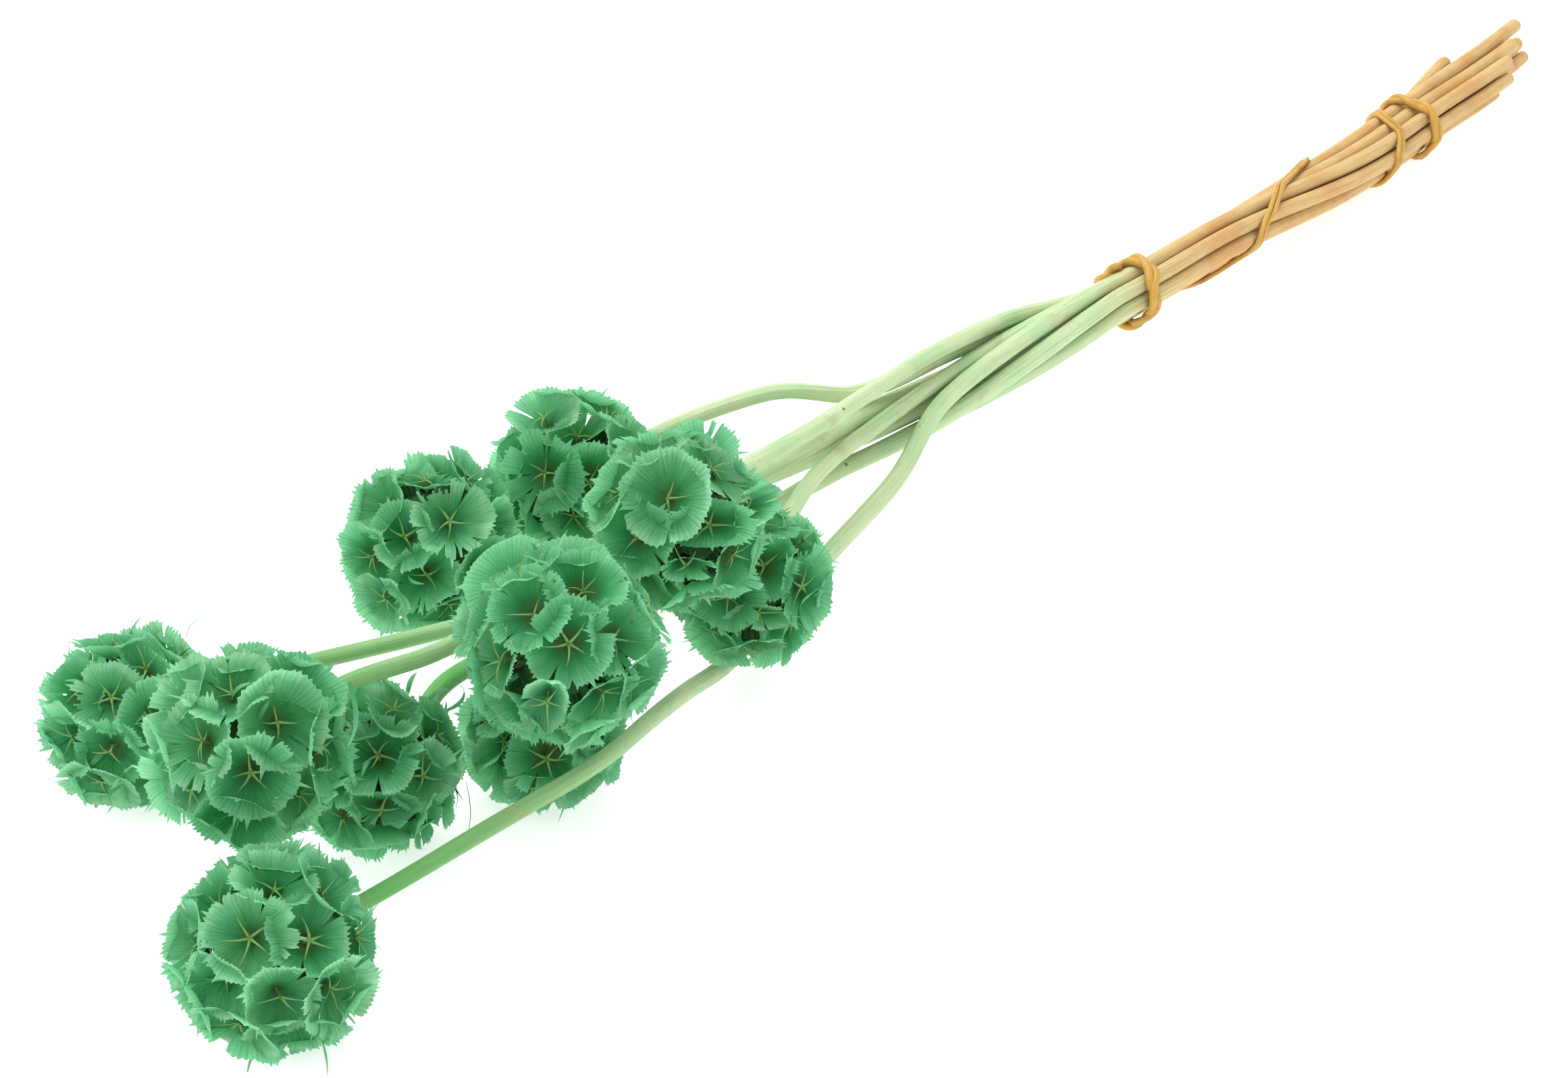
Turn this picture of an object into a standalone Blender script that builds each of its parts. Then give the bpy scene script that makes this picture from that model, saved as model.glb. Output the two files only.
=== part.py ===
# A tied bunch of ten dried scabiosa seed heads, lying on a table.
# +X runs from the heads to the cut ends, +Z is up, and z = 0 is the table.
# Lengths below are in millimetres and are turned into metres when a mesh is made.
import math
import random

import bpy
import bmesh
import numpy as np
from mathutils import Vector

metre = 0.001

# Stems: thinner under the head, fullest before the tie, and pressed a little in the tie
stem_top_radius = 1.85
stem_full_radius = 2.15
stem_tie_radius = 1.95
stem_cut_radius = 1.9
stem_sides = 6
stem_gap = 0.3
tie_x = 74.0
base_x = 204.0
tie_centre = (-31.0, 16.0)
splay = (4.0, 3.0)
bend_tolerance = 0.3
bract_reach = 5.6
bract_sheet = 0.7

# Seed heads: papery funnels round a small core
florets_at_20mm = 25
rim_points = 14
rim_gap = 0.45
rim_widest = 9.0
core_share = 0.50
throat_share = 0.62
floor_share = 0.72
star_share = 0.88
pressed_flat = 0.9

# One rubber band, wound at the neck, spiralled down the stems and wound again near the ends
band_width = 2.2
band_sheet = 1.2
band_gap = 0.4
band_steps = 14
# turns made so far, and the place along the stems
band_route = ((0.0, 69.5), (0.25, 70.5), (0.54, 71.0), (0.72, 71.3), (0.87, 74.5), (1.04, 76.0),
              (1.3, 77.5), (1.54, 109.0), (1.7, 124.0), (1.86, 138.0), (2.04, 167.0),
              (2.54, 182.0), (2.74, 191.0), (3.04, 203.0), (3.5, 207.5), (3.72, 210.5),
              (3.9, 211.5), (4.12, 212.5))
band_first_angle = 57.0

# The middle of the whole length, and of the width
lie_shift = (-7.7, -0.8)

# Each head: middle, radius, its place in the tie (across, up), the stem's cut end, and the way
# the stem takes from under the head to where the stems gather
heads = (
    ("01", (-207.2, 45.1, 19.3), 20.0, (0, -1), 278.0,
     ((-180, 30.5, 21.5), (-151, 15, 20.5), (-110, 3, 15), (-50, -1, 14))),
    ("02", (-222.9, -3.2, 42.2), 21.3, (-0.5, 0), 264.0,
     ((-201, -7.5, 45), (-175, -12, 41), (-140, -8, 34.5), (-100, -5, 28), (-50, -11, 21))),
    ("03", (-248.7, -30.9, 20.9), 21.4, (-1, 1), 259.0,
     ((-222, -31.6, 16), (-186.6, -36.8, 16.2), (-168.6, -43.5, 20.5), (-147.7, -43.4, 20.3),
      (-129.2, -39.5, 15.4), (-103, -31.7, 5.4), (-79.6, -28.3, 3.6), (-53.6, -26.2, 6.2),
      (-26, -25.5, 11.5))),
    ("04", (-189.9, -7.5, 18.4), 18.6, (-1, -1), 252.0,
     ((-160, 1, 18.4), (-140, 2, 15.4), (-100, -2, 11.5), (-50, -6.5, 8.5))),
    ("05", (-172.7, -42.6, 53.0), 21.9, (0.5, 0), 276.0,
     ((-148, -29.5, 42), (-130, -20, 36), (-110, -13, 32), (-80, -12, 29), (-50, -16, 27))),
    ("06", (-121.1, 36.3, 20.6), 21.5, (1, -1), 284.0,
     ((-108, 15, 19), (-85, 0, 18), (-50, -4, 19))),
    ("07", (-79.3, 27.2, 19.6), 20.4, (1.5, 0), 249.0,
     ((-58.2, 12.4, 30), (-48.7, 3.8, 33), (-40.8, -2.9, 34.5), (-33.6, -7.4, 32),
      (-24, -10.3, 27.5), (-7.7, -12.8, 24), (10.6, -15.5, 22))),
    ("08", (-124.7, -37.0, 56.0), 20.4, (1, 1), 281.0,
     ((-98, -26.5, 47.5), (-75, -20.5, 39.5), (-50, -17, 33), (-24.4, -16.7, 30.5),
      (0, -15.3, 26.5))),
    ("09", (-97.6, -34.3, 25.0), 19.2, (0, 1), 270.0,
     ((-72, -27, 25), (-50, -20, 24))),
    ("10", (-158.8, -25.9, 17.3), 17.6, (-1.5, 0), 256.0,
     ((-130, -16, 14), (-98, -11, 12), (-50, -11, 13))),
)


def new_material(name, colour, roughness, metallic=0.0):
    material = bpy.data.materials.new(name)
    material.use_nodes = True
    shader = material.node_tree.nodes["Principled BSDF"]
    shader.inputs["Base Color"].default_value = (*colour, 1.0)
    shader.inputs["Roughness"].default_value = roughness
    shader.inputs["Metallic"].default_value = metallic
    material.diffuse_color = (*colour, 1.0)
    return material


def smoothstep(low, high, value):
    t = min(max((value - low) / (high - low), 0.0), 1.0)
    return t * t * (3 - 2 * t)


def stem_radius(x, start):
    if x < tie_x:
        share = (x - start) / (tie_x - start)
        pinch = smoothstep(tie_x - 45, tie_x, x) * (stem_full_radius - stem_tie_radius)
        return stem_top_radius + (stem_full_radius - stem_top_radius) * share - pinch
    share = (x - tie_x) / (base_x + 70 - tie_x)
    return stem_tie_radius + (stem_cut_radius - stem_tie_radius) * min(share, 1.0)


def bundle_place(x, slot):
    """Where a stem runs inside the gathered bundle: three rows, packed like a honeycomb, which
    turn one way up to the tie and back again beyond it."""
    pitch = 2 * stem_radius(x, -100) + stem_gap
    across, up = slot[0] * pitch, slot[1] * pitch * math.sqrt(0.75)
    turn = math.radians(55 - 103 * smoothstep(-40, 80, x) + 48 * smoothstep(105, base_x - 6, x))
    rest = pitch * math.sqrt(0.75) + stem_radius(x, -100)
    height = tie_centre[1] + (rest + band_gap + band_sheet - tie_centre[1]) * smoothstep(
        tie_x - 10, base_x, x)
    height -= (band_gap + band_sheet) * smoothstep(base_x + 6, base_x + 60, x)
    before = 5 * math.log(1 + math.exp((tie_x - 4 - x) / 5))
    side = tie_centre[0] + 22 * (1 - math.exp(-before / 50)) - 5.5 * smoothstep(
        tie_x - 20, base_x, x) - 1.5 * smoothstep(base_x, base_x + 70, x)
    side += 1.5 * smoothstep(15, 65, x) - 1.0 * smoothstep(180, 250, x)
    loose = max(slot[0] - 0.9, 0) / 0.6 * smoothstep(base_x + 8, base_x + 46, x)
    return (x, side + loose * splay[0] + across * math.cos(turn) - up * math.sin(turn),
            height + loose * splay[1] + across * math.sin(turn) + up * math.cos(turn))


def through(points, step=1.0):
    """A smooth curve through the given points."""
    pts = np.array(points, float)
    pts = np.vstack([2 * pts[0] - pts[1], pts, 2 * pts[-1] - pts[-2]])
    found = []
    for a, b, c, d in zip(pts, pts[1:], pts[2:], pts[3:]):
        span = np.linalg.norm(c - b)
        before, after = np.linalg.norm(b - a), np.linalg.norm(d - c)
        leave = ((b - a) / before + (c - b) / span) / 2 * span
        arrive = ((c - b) / span + (d - c) / after) / 2 * span
        for t in np.arange(0, 1, step / span):
            found.append((2 * t**3 - 3 * t**2 + 1) * b + (t**3 - 2 * t**2 + t) * leave
                         + (3 * t**2 - 2 * t**3) * c + (t**3 - t**2) * arrive)
    found.append(pts[-2])
    return np.array(found)


def stem_routes():
    """Every stem's centre line, eased apart where it would cross another stem or a head."""
    grid = np.arange(-250.0, tie_x - 8, 2.0)
    tips, lines, starts = [], [], []
    for name, centre, radius, slot, cut, way in heads:
        centre = np.array(centre, float)
        pole = np.array(way[0], float) - centre
        pole /= np.linalg.norm(pole)
        tip = centre + pole * (radius * core_share * 0.95 + 0.3)
        leave = centre + pole * (radius + 2.0)
        points = [tip, leave, *way[1:], bundle_place(tie_x - 10, slot),
                  bundle_place(tie_x + 10, slot)]
        if way[-1][0] < -20:
            points.insert(-2, bundle_place(0.0, slot))
        if np.linalg.norm(np.array(way[0]) - leave) > 6:
            points.insert(2, way[0])
        curve = through(points)
        first = int(np.searchsorted(grid, leave[0]))
        y = np.interp(grid, curve[:, 0], curve[:, 1])
        z = np.interp(grid, curve[:, 0], curve[:, 2])
        tips.append((tip, leave))
        lines.append(np.stack([grid, y, z], axis=1))
        starts.append(first)
    lines = np.array(lines)
    live = np.array([np.arange(len(grid)) >= first for first in starts])
    radii = np.array([[stem_radius(x, h[1][0]) for x in grid] for h in heads])
    nudge = np.zeros_like(lines[:, :, 1:])
    hold = np.ones_like(live, float)
    for k, first in enumerate(starts):
        hold[k, :first + 1] = 0
        hold[k, first + 1:first + 5] = (0.2, 0.4, 0.6, 0.8)
        hold[k, -4:] = (0.7, 0.4, 0.2, 0.0)
    for _ in range(400):
        now = lines.copy()
        now[:, :, 1:] += nudge
        slope = np.gradient(now[:, :, 1:], 2.0, axis=1)
        lean = np.sqrt(1 + (slope ** 2).sum(axis=2))
        push = np.zeros_like(nudge)
        for i in range(len(heads)):
            for j in range(i):
                apart = now[i, :, 1:] - now[j, :, 1:]
                dist = np.linalg.norm(apart, axis=1) + 1e-6
                need = (radii[i] + radii[j] + 0.55) * np.minimum(lean[i], lean[j])
                short = np.where(live[i] & live[j], np.maximum(need - dist, 0), 0)
                step = apart / dist[:, None] * (short / 2)[:, None]
                push[i] += step
                push[j] -= step
            for k, head in enumerate(heads):
                away = now[i] - np.array(head[1])
                dist = np.linalg.norm(away, axis=1) + 1e-6
                short = np.where(live[i], np.maximum(head[2] + radii[i] + 0.5 - dist, 0), 0)
                push[i] += (away / dist[:, None] * short[:, None])[:, 1:]
        low = np.maximum(radii + 0.15 - now[:, :, 2], 0)
        push[:, :, 1] += np.where(live, low, 0)
        nudge += push * 0.5 * hold[:, :, None]
        smooth = (nudge[:, :-2] + nudge[:, 2:]) / 2
        nudge[:, 1:-1] += (smooth - nudge[:, 1:-1]) * 0.35 * hold[:, 1:-1, None]
    lines[:, :, 1:] += nudge
    routes = []
    for k, (name, centre, radius, slot, cut, way) in enumerate(heads):
        tip, leave = tips[k]
        inner = lines[k][starts[k] + 1:]
        gathered = [bundle_place(x, slot) for x in np.arange(tie_x - 8, cut, 6.0)]
        gathered.append(bundle_place(cut, slot))
        routes.append(np.vstack([[tip], [leave], inner, gathered]))
    return routes


def thinned(points, tolerance):
    """The fewest of the points that keep the line within the tolerance."""
    keep = [0, len(points) - 1]
    spans = [(0, len(points) - 1)]
    while spans:
        a, b = spans.pop()
        if b - a < 2:
            continue
        along = points[b] - points[a]
        along = along / np.linalg.norm(along)
        off = points[a + 1:b] - points[a]
        away = np.linalg.norm(off - np.outer(off @ along, along), axis=1)
        worst = int(away.argmax())
        if away[worst] > tolerance:
            middle = a + 1 + worst
            keep.append(middle)
            spans += [(a, middle), (middle, b)]
    return points[sorted(keep)]


def strip(bm, low, high, flip=False):
    """Joins two rings of (angle, vert), each in order of angle, with a band of triangles."""
    full = 2 * math.pi
    start = low[0][0]
    bottom = [(a - start, v) for a, v in low]
    turned = [((a - start + math.pi) % full - math.pi, v) for a, v in high]
    first = min(range(len(turned)), key=lambda k: abs(turned[k][0]))
    top = []
    for angle, vert in turned[first:] + turned[:first]:
        while top and angle < top[-1][0]:
            angle += full
        top.append((angle, vert))
    bottom.append((bottom[0][0] + full, bottom[0][1]))
    top.append((top[0][0] + full, top[0][1]))
    i = j = 0
    while i < len(low) or j < len(high):
        step_low = i < len(low) and (
            j == len(high) or bottom[i + 1][0] + bottom[i][0] <= top[j + 1][0] + top[j][0])
        if step_low:
            corners = (bottom[i][1], bottom[i + 1][1], top[j][1])
            i += 1
        else:
            corners = (bottom[i][1], top[j + 1][1], top[j][1])
            j += 1
        bm.faces.new(reversed(corners) if flip else corners)


def fan(bm, ring, tip):
    for (_, a), (_, b) in zip(ring, ring[1:] + ring[:1]):
        bm.faces.new((a, b, tip))


def finish(bm, name, centre, material, parent):
    bmesh.ops.recalc_face_normals(bm, faces=bm.faces)
    mesh = bpy.data.meshes.new(name)
    bm.to_mesh(mesh)
    bm.free()
    mesh.materials.append(material)
    obj = bpy.data.objects.new(name, mesh)
    obj.location = ((centre[0] + lie_shift[0]) * metre, (centre[1] + lie_shift[1]) * metre,
                    centre[2] * metre)
    obj.parent = parent
    bpy.context.scene.collection.objects.link(obj)
    return obj


def spread(count, pole, rnd):
    """Even directions over a ball, the first of them at the stem."""
    golden = math.pi * (3 - math.sqrt(5))
    dirs = [Vector((0, 0, 1))]
    for k in range(1, count):
        z = 1 - (2 * k + 0.6) / count
        ring = math.sqrt(max(1 - z * z, 0))
        dirs.append(Vector((ring * math.cos(golden * k) + rnd.uniform(-0.12, 0.12),
                            ring * math.sin(golden * k) + rnd.uniform(-0.12, 0.12),
                            z + rnd.uniform(-0.12, 0.12))).normalized())
    for _ in range(140):
        moved = [dirs[0]]
        for k in range(1, count):
            force = Vector()
            for j in range(count):
                if j != k:
                    away = dirs[k] - dirs[j]
                    force += away / max(away.length, 0.05) ** 4
            force -= dirs[k] * force.dot(dirs[k])
            moved.append((dirs[k] + force * min(0.004, 0.08 / max(force.length, 1e-6))).normalized())
        dirs = moved
    turn = Vector((0, 0, 1)).rotation_difference(pole).to_matrix()
    return [turn @ d for d in dirs]


def cells(dirs):
    """The corners between neighbouring florets, and which corners lie round each floret."""
    hull = bmesh.new()
    points = [hull.verts.new(d) for d in dirs]
    hull.verts.index_update()
    bmesh.ops.convex_hull(hull, input=points)
    corners, around = [], [[] for _ in dirs]
    for k, face in enumerate(hull.faces):
        face.normal_update()
        out = face.normal.copy()
        corners.append(out if out.dot(face.calc_center_median()) > 0 else -out)
        for vert in face.verts:
            around[vert.index].append(k)
    hull.free()
    return corners, around


def make_head(name, centre, radius, pole, seed, material, parent):
    rnd = random.Random(seed)
    dirs = spread(round(florets_at_20mm * radius / 20), pole, rnd)
    corners, around = cells(dirs)
    bm = bmesh.new()
    floor = centre[2]

    def place(direction, distance):
        spot = direction * distance
        if spot.z < pressed_flat - floor:
            spot *= floor / -spot.z
        return bm.verts.new(spot * metre)

    core = [place(c, radius * core_share) for c in corners]
    for number, out in enumerate(dirs):
        side = out.orthogonal().normalized()
        up = out.cross(side)
        ring = sorted((math.atan2(corners[k].dot(up), corners[k].dot(side)), k)
                      for k in around[number])
        ring = [(a, core[k]) for a, k in ring]
        if number == 0:
            fan(bm, ring, place(out, radius * core_share * 0.95))
            continue
        size = rnd.uniform(0.94, 1.0)
        level = rnd.uniform(0.95, 1.0)
        lean_to = rnd.uniform(0, 2 * math.pi)
        lean = rnd.uniform(0.0, 0.02)
        first = rnd.uniform(0, 2 * math.pi)
        nearest = min(out.angle(q) for q in dirs if q is not out) / 2
        widest = min(rim_widest / radius, nearest * 1.14)
        rim = []
        reach_sum = 0.0
        for k in range(rim_points):
            angle = first + 2 * math.pi * k / rim_points + rnd.uniform(-0.05, 0.05)
            along = side * math.cos(angle) + up * math.sin(angle)
            edge = min(math.atan2(1 - out.dot(q), along.dot(q))
                       for q in dirs if q is not out and along.dot(q) > 1e-3)
            tooth = k % 2 == 0
            reach = min(edge - rim_gap / radius, widest) * size * (1.0 if tooth else 0.88)
            reach_sum += reach / rim_points
            distance = radius * level * (1 - lean * (1 + math.cos(angle - lean_to)))
            distance *= 1.0 if tooth else rnd.uniform(0.955, 0.975)
            direction = out * math.cos(reach) + along * math.sin(reach)
            rim.append((angle % (2 * math.pi), place(direction, distance)))
        rim.sort(key=lambda item: item[0])
        throat, bottom = [], []
        for k in range(5):
            angle = first + 2 * math.pi * k / 5
            along = side * math.cos(angle) + up * math.sin(angle)
            wide, tight = reach_sum * 0.44, reach_sum * 0.30
            throat.append((angle % (2 * math.pi), place(
                out * math.cos(wide) + along * math.sin(wide), radius * throat_share)))
            bottom.append((angle % (2 * math.pi), place(
                out * math.cos(tight) + along * math.sin(tight), radius * floor_share * level)))
        throat.sort(key=lambda item: item[0])
        bottom.sort(key=lambda item: item[0])
        strip(bm, ring, throat)
        strip(bm, throat, rim)
        strip(bm, bottom, rim, flip=True)
        fan(bm, bottom, place(out, radius * star_share * level))
    return finish(bm, name, centre, material, parent)


def circle(bm, at, along, radius, count, first, turn=0.0, bend=0.0):
    """A ring of points round a stem; radius may alternate between two values."""
    side = first - along * first.dot(along)
    side.normalize()
    up = along.cross(side)
    sizes = radius if isinstance(radius, tuple) else (radius, radius)
    found = []
    for k in range(count):
        angle = turn + 2 * math.pi * k / count
        spot = at + (side * math.cos(angle) + up * math.sin(angle)) * sizes[k % 2]
        if k % 2 == 0:
            spot = spot + along * bend
        found.append((angle, bm.verts.new(spot * metre)))
    return found


def make_stem(name, route, start, material, parent):
    """A tapering stem; under the head it spreads into a ring of narrow bracts."""
    line = thinned(route, bend_tolerance)
    points = [Vector(p) for p in line]
    bm = bmesh.new()
    side = Vector((0, 0, 1))
    out = (points[1] - points[0]).normalized()
    tip = bm.verts.new(points[0] * metre)
    collar_top = circle(bm, points[0] + out * 0.05, out, 1.9, 12, side)
    bract_top = circle(bm, points[0] + out * 4.4, out, (bract_reach, 2.1), 12, side, bend=1.4)
    bract_low = circle(bm, points[0] + out * (4.4 + bract_sheet), out, (bract_reach, 2.0), 12,
                       side, bend=1.4)
    fan(bm, collar_top, tip)
    strip(bm, bract_top, collar_top)
    strip(bm, bract_low, bract_top)
    last = bract_low
    for k in range(1, len(points)):
        back = (points[k] - points[k - 1]).normalized()
        ahead = (points[min(k + 1, len(points) - 1)] - points[k]).normalized() or back
        along = (back + ahead).normalized() if k + 1 < len(points) else back
        ring = circle(bm, points[k], along, stem_radius(points[k].x, start), stem_sides, side)
        strip(bm, ring, last)
        last = ring
    end = bm.verts.new(points[-1] * metre)
    fan(bm, [(-a, v) for a, v in reversed(last)], end)
    return finish(bm, name, (0, 0, 0), material, parent)


def band_points():
    """The band's path over the outside of the bundle: (point, outward direction)."""
    turns = np.array([t for t, _ in band_route])
    places = np.array([x for _, x in band_route])
    count = round(turns[-1] * band_steps)
    found = []
    for k in range(count + 1):
        turn = turns[-1] * k / count
        x = sum(float(np.interp(turn + d, turns, places)) for d in (-0.06, 0, 0.06)) / 3
        angle = math.radians(band_first_angle) - 2 * math.pi * turn
        out = Vector((0, math.cos(angle), math.sin(angle)))
        stems = [Vector(bundle_place(x, h[3])) for h in heads]
        corner = max(stems, key=out.dot)
        steep = 0.35 if turn < band_route[-4][0] else 0.0
        found.append((corner + out * (stem_radius(x, -100) + band_gap + steep), out))
    return found


def make_band(material, parent):
    path = band_points()
    bm = bmesh.new()
    rings = []
    for k, (spot, out) in enumerate(path):
        along = path[min(k + 1, len(path) - 1)][0] - path[max(k - 1, 0)][0]
        across = out.cross(along).normalized() * (band_width / 2)
        ring = [spot - across, spot + across, spot + across + out * band_sheet,
                spot - across + out * band_sheet]
        for corner in ring:
            if corner.z < 0.3:
                corner.z = 0.0
        rings.append([bm.verts.new(corner * metre) for corner in ring])
    for a, b in zip(rings, rings[1:]):
        for k in range(4):
            m = (k + 1) % 4
            bm.faces.new((a[k], a[m], b[m], b[k]))
    bm.faces.new(rings[0])
    bm.faces.new(reversed(rings[-1]))
    bmesh.ops.triangulate(bm, faces=bm.faces, quad_method="FIXED")
    return finish(bm, "rubber_band", (0, 0, 0), material, parent)


for old in list(bpy.data.objects):
    bpy.data.objects.remove(old)

head_green = new_material("dyed_mint_paper", (0.16, 0.40, 0.21), 0.72)
stem_green = new_material("pale_dyed_stem", (0.60, 0.62, 0.36), 0.62)
band_ochre = new_material("ochre_rubber", (0.62, 0.36, 0.08), 0.55)

bunch = bpy.data.objects.new("bunch", None)
bpy.context.scene.collection.objects.link(bunch)

for (label, middle, size, slot, cut, way), route in zip(heads, stem_routes()):
    towards = (Vector(way[0]) - Vector(middle)).normalized()
    make_head("head_" + label, middle, size, towards, 40 + int(label), head_green, bunch)
    make_stem("stem_" + label, route, middle[0], stem_green, bunch)
make_band(band_ochre, bunch)

for piece in bunch.children:
    piece.data.shade_smooth()
    piece.data.set_sharp_from_angle(angle=math.radians(30))
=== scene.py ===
# A tied bunch of ten dried, dyed scabiosa seed heads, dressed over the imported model.
# Lengths in the dictionaries are in millimetres; meshes are turned into metres when made.
import math
import random

import bpy
import bmesh
import numpy as np
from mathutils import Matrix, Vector


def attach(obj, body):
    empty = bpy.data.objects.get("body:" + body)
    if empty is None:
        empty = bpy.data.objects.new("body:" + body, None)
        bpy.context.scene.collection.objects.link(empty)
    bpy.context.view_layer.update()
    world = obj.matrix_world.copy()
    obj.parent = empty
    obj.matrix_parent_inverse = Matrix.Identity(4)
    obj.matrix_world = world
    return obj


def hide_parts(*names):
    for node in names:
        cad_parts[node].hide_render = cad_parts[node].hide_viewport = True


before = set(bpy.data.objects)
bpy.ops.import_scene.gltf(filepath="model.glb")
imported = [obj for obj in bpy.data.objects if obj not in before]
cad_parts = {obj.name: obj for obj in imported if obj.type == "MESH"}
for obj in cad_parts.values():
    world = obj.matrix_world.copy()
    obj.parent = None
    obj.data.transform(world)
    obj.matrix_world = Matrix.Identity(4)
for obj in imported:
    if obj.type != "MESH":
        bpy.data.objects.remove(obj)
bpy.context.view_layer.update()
metre = 0.001
print("frame loaded:", len(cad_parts), "nodes")

studio = {
    "cameraAt": (-681.2, -451.0, 497.0),
    "lookAcross": 54.8,       # degrees from +Y towards +X
    "lookDown": 33.0,
    "lens": 90.0,
    "roomLight": 0.86,
    "topLight": 14.0,
    "topLightAt": (250.0, 420.0, 1150.0),
    "topLightSize": 1.3,
    "sideLight": 4.0,
    "sideLightAt": (-900.0, 300.0, 700.0),
    "floorGlow": 0.60,
}


def lookAt(obj, place, target):
    obj.location = [v * metre for v in place]
    aim = Vector(target) - Vector(place)
    obj.rotation_euler = aim.to_track_quat("-Z", "Y").to_euler()


def makeCamera():
    data = bpy.data.cameras.new("photoCamera")
    data.lens, data.sensor_width = studio["lens"], 36.0
    data.clip_start, data.clip_end = 0.01, 20.0
    cam = bpy.data.objects.new("photoCamera", data)
    bpy.context.scene.collection.objects.link(cam)
    a, e = math.radians(studio["lookAcross"]), math.radians(studio["lookDown"])
    aim = Vector((math.sin(a) * math.cos(e), math.cos(a) * math.cos(e), -math.sin(e)))
    lookAt(cam, studio["cameraAt"], Vector(studio["cameraAt"]) + aim * 1000)
    bpy.context.scene.camera = cam


def makeLight(name, place, size, power, colour):
    data = bpy.data.lights.new(name, "AREA")
    data.shape, data.size, data.energy, data.color = "DISK", size, power, colour
    light = bpy.data.objects.new(name, data)
    bpy.context.scene.collection.objects.link(light)
    lookAt(light, place, (0, 0, 20))


makeCamera()
makeLight("topSoftbox", studio["topLightAt"], studio["topLightSize"], studio["topLight"],
          (1.0, 0.99, 0.97))
makeLight("sideSoftbox", studio["sideLightAt"], 1.0, studio["sideLight"], (0.96, 0.99, 1.0))
world = bpy.data.worlds.new("paleRoom")
bpy.context.scene.world = world
world.use_nodes = True
world.node_tree.nodes["Background"].inputs["Color"].default_value = (1.0, 1.0, 1.0, 1)
world.node_tree.nodes["Background"].inputs["Strength"].default_value = studio["roomLight"]
bpy.context.scene.view_settings.view_transform = "Standard"
bpy.context.scene.view_settings.look = "None"
print("camera and lights made")


def addNode(tree, kind, settings=None, inputs=None):
    node = tree.nodes.new("ShaderNode" + kind)
    for key, value in (settings or {}).items():
        setattr(node, key, value)
    for key, value in (inputs or {}).items():
        if isinstance(value, bpy.types.NodeSocket):
            tree.links.new(value, node.inputs[key])
        else:
            node.inputs[key].default_value = value
    return node


def maths(tree, operation, a, b=0.0, clamp=False):
    node = tree.nodes.new("ShaderNodeMath")
    node.operation, node.use_clamp = operation, clamp
    for socket, value in zip(node.inputs, (a, b)):
        if isinstance(value, bpy.types.NodeSocket):
            tree.links.new(value, socket)
        else:
            socket.default_value = value
    return node.outputs[0]


def blendColour(tree, share, a, b, kind="MIX"):
    node = tree.nodes.new("ShaderNodeMix")
    node.data_type, node.blend_type = "RGBA", kind
    for socket, value in zip((node.inputs[0], node.inputs[6], node.inputs[7]), (share, a, b)):
        if isinstance(value, bpy.types.NodeSocket):
            tree.links.new(value, socket)
        elif isinstance(value, float):
            socket.default_value = value
        else:
            socket.default_value = (*value, 1.0)
    return node.outputs[2]


def ramp(tree, share, stops):
    node = tree.nodes.new("ShaderNodeValToRGB")
    tree.links.new(share, node.inputs[0])
    band = node.color_ramp
    for k, (place, colour) in enumerate(stops):
        stop = band.elements[k] if k < 2 else band.elements.new(place)
        stop.position = place
        stop.color = (*colour, 1.0) if len(colour) == 3 else (colour[0],) * 3 + (1.0,)
    return node.outputs[0]


def newGroup(name, wants, gives):
    group = bpy.data.node_groups.new(name, "ShaderNodeTree")
    for label, kind, value in wants:
        socket = group.interface.new_socket(label, in_out="INPUT",
                                            socket_type="NodeSocket" + kind)
        socket.default_value = value
    for label, kind in gives:
        group.interface.new_socket(label, in_out="OUTPUT", socket_type="NodeSocket" + kind)
    return group, group.nodes.new("NodeGroupInput").outputs, group.nodes.new(
        "NodeGroupOutput").inputs


def useGroup(tree, group, inputs):
    node = tree.nodes.new("ShaderNodeGroup")
    node.node_tree = group
    for key, value in inputs.items():
        if isinstance(value, bpy.types.NodeSocket):
            tree.links.new(value, node.inputs[key])
        else:
            node.inputs[key].default_value = value
    return node.outputs


def makeBlotchGroup():
    # uneven take-up of dye: soft patches a few millimetres across
    group, wants, gives = newGroup(
        "dyeBlotches", (("Size", "Float", 8.0), ("Low", "Float", 0.4), ("High", "Float", 0.6)),
        (("Mask", "Float"),))
    where = addNode(group, "TexCoord").outputs["Object"]
    scale = maths(group, "DIVIDE", 1000.0, wants["Size"])
    noise = addNode(group, "TexNoise", {}, {"Vector": where, "Scale": scale, "Detail": 3.0,
                                            "Roughness": 0.6}).outputs["Fac"]
    mask = addNode(group, "MapRange", {"interpolation_type": "SMOOTHSTEP"},
                   {"Value": noise, "From Min": wants["Low"], "From Max": wants["High"]})
    group.links.new(mask.outputs["Result"], gives["Mask"])
    return group


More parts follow.
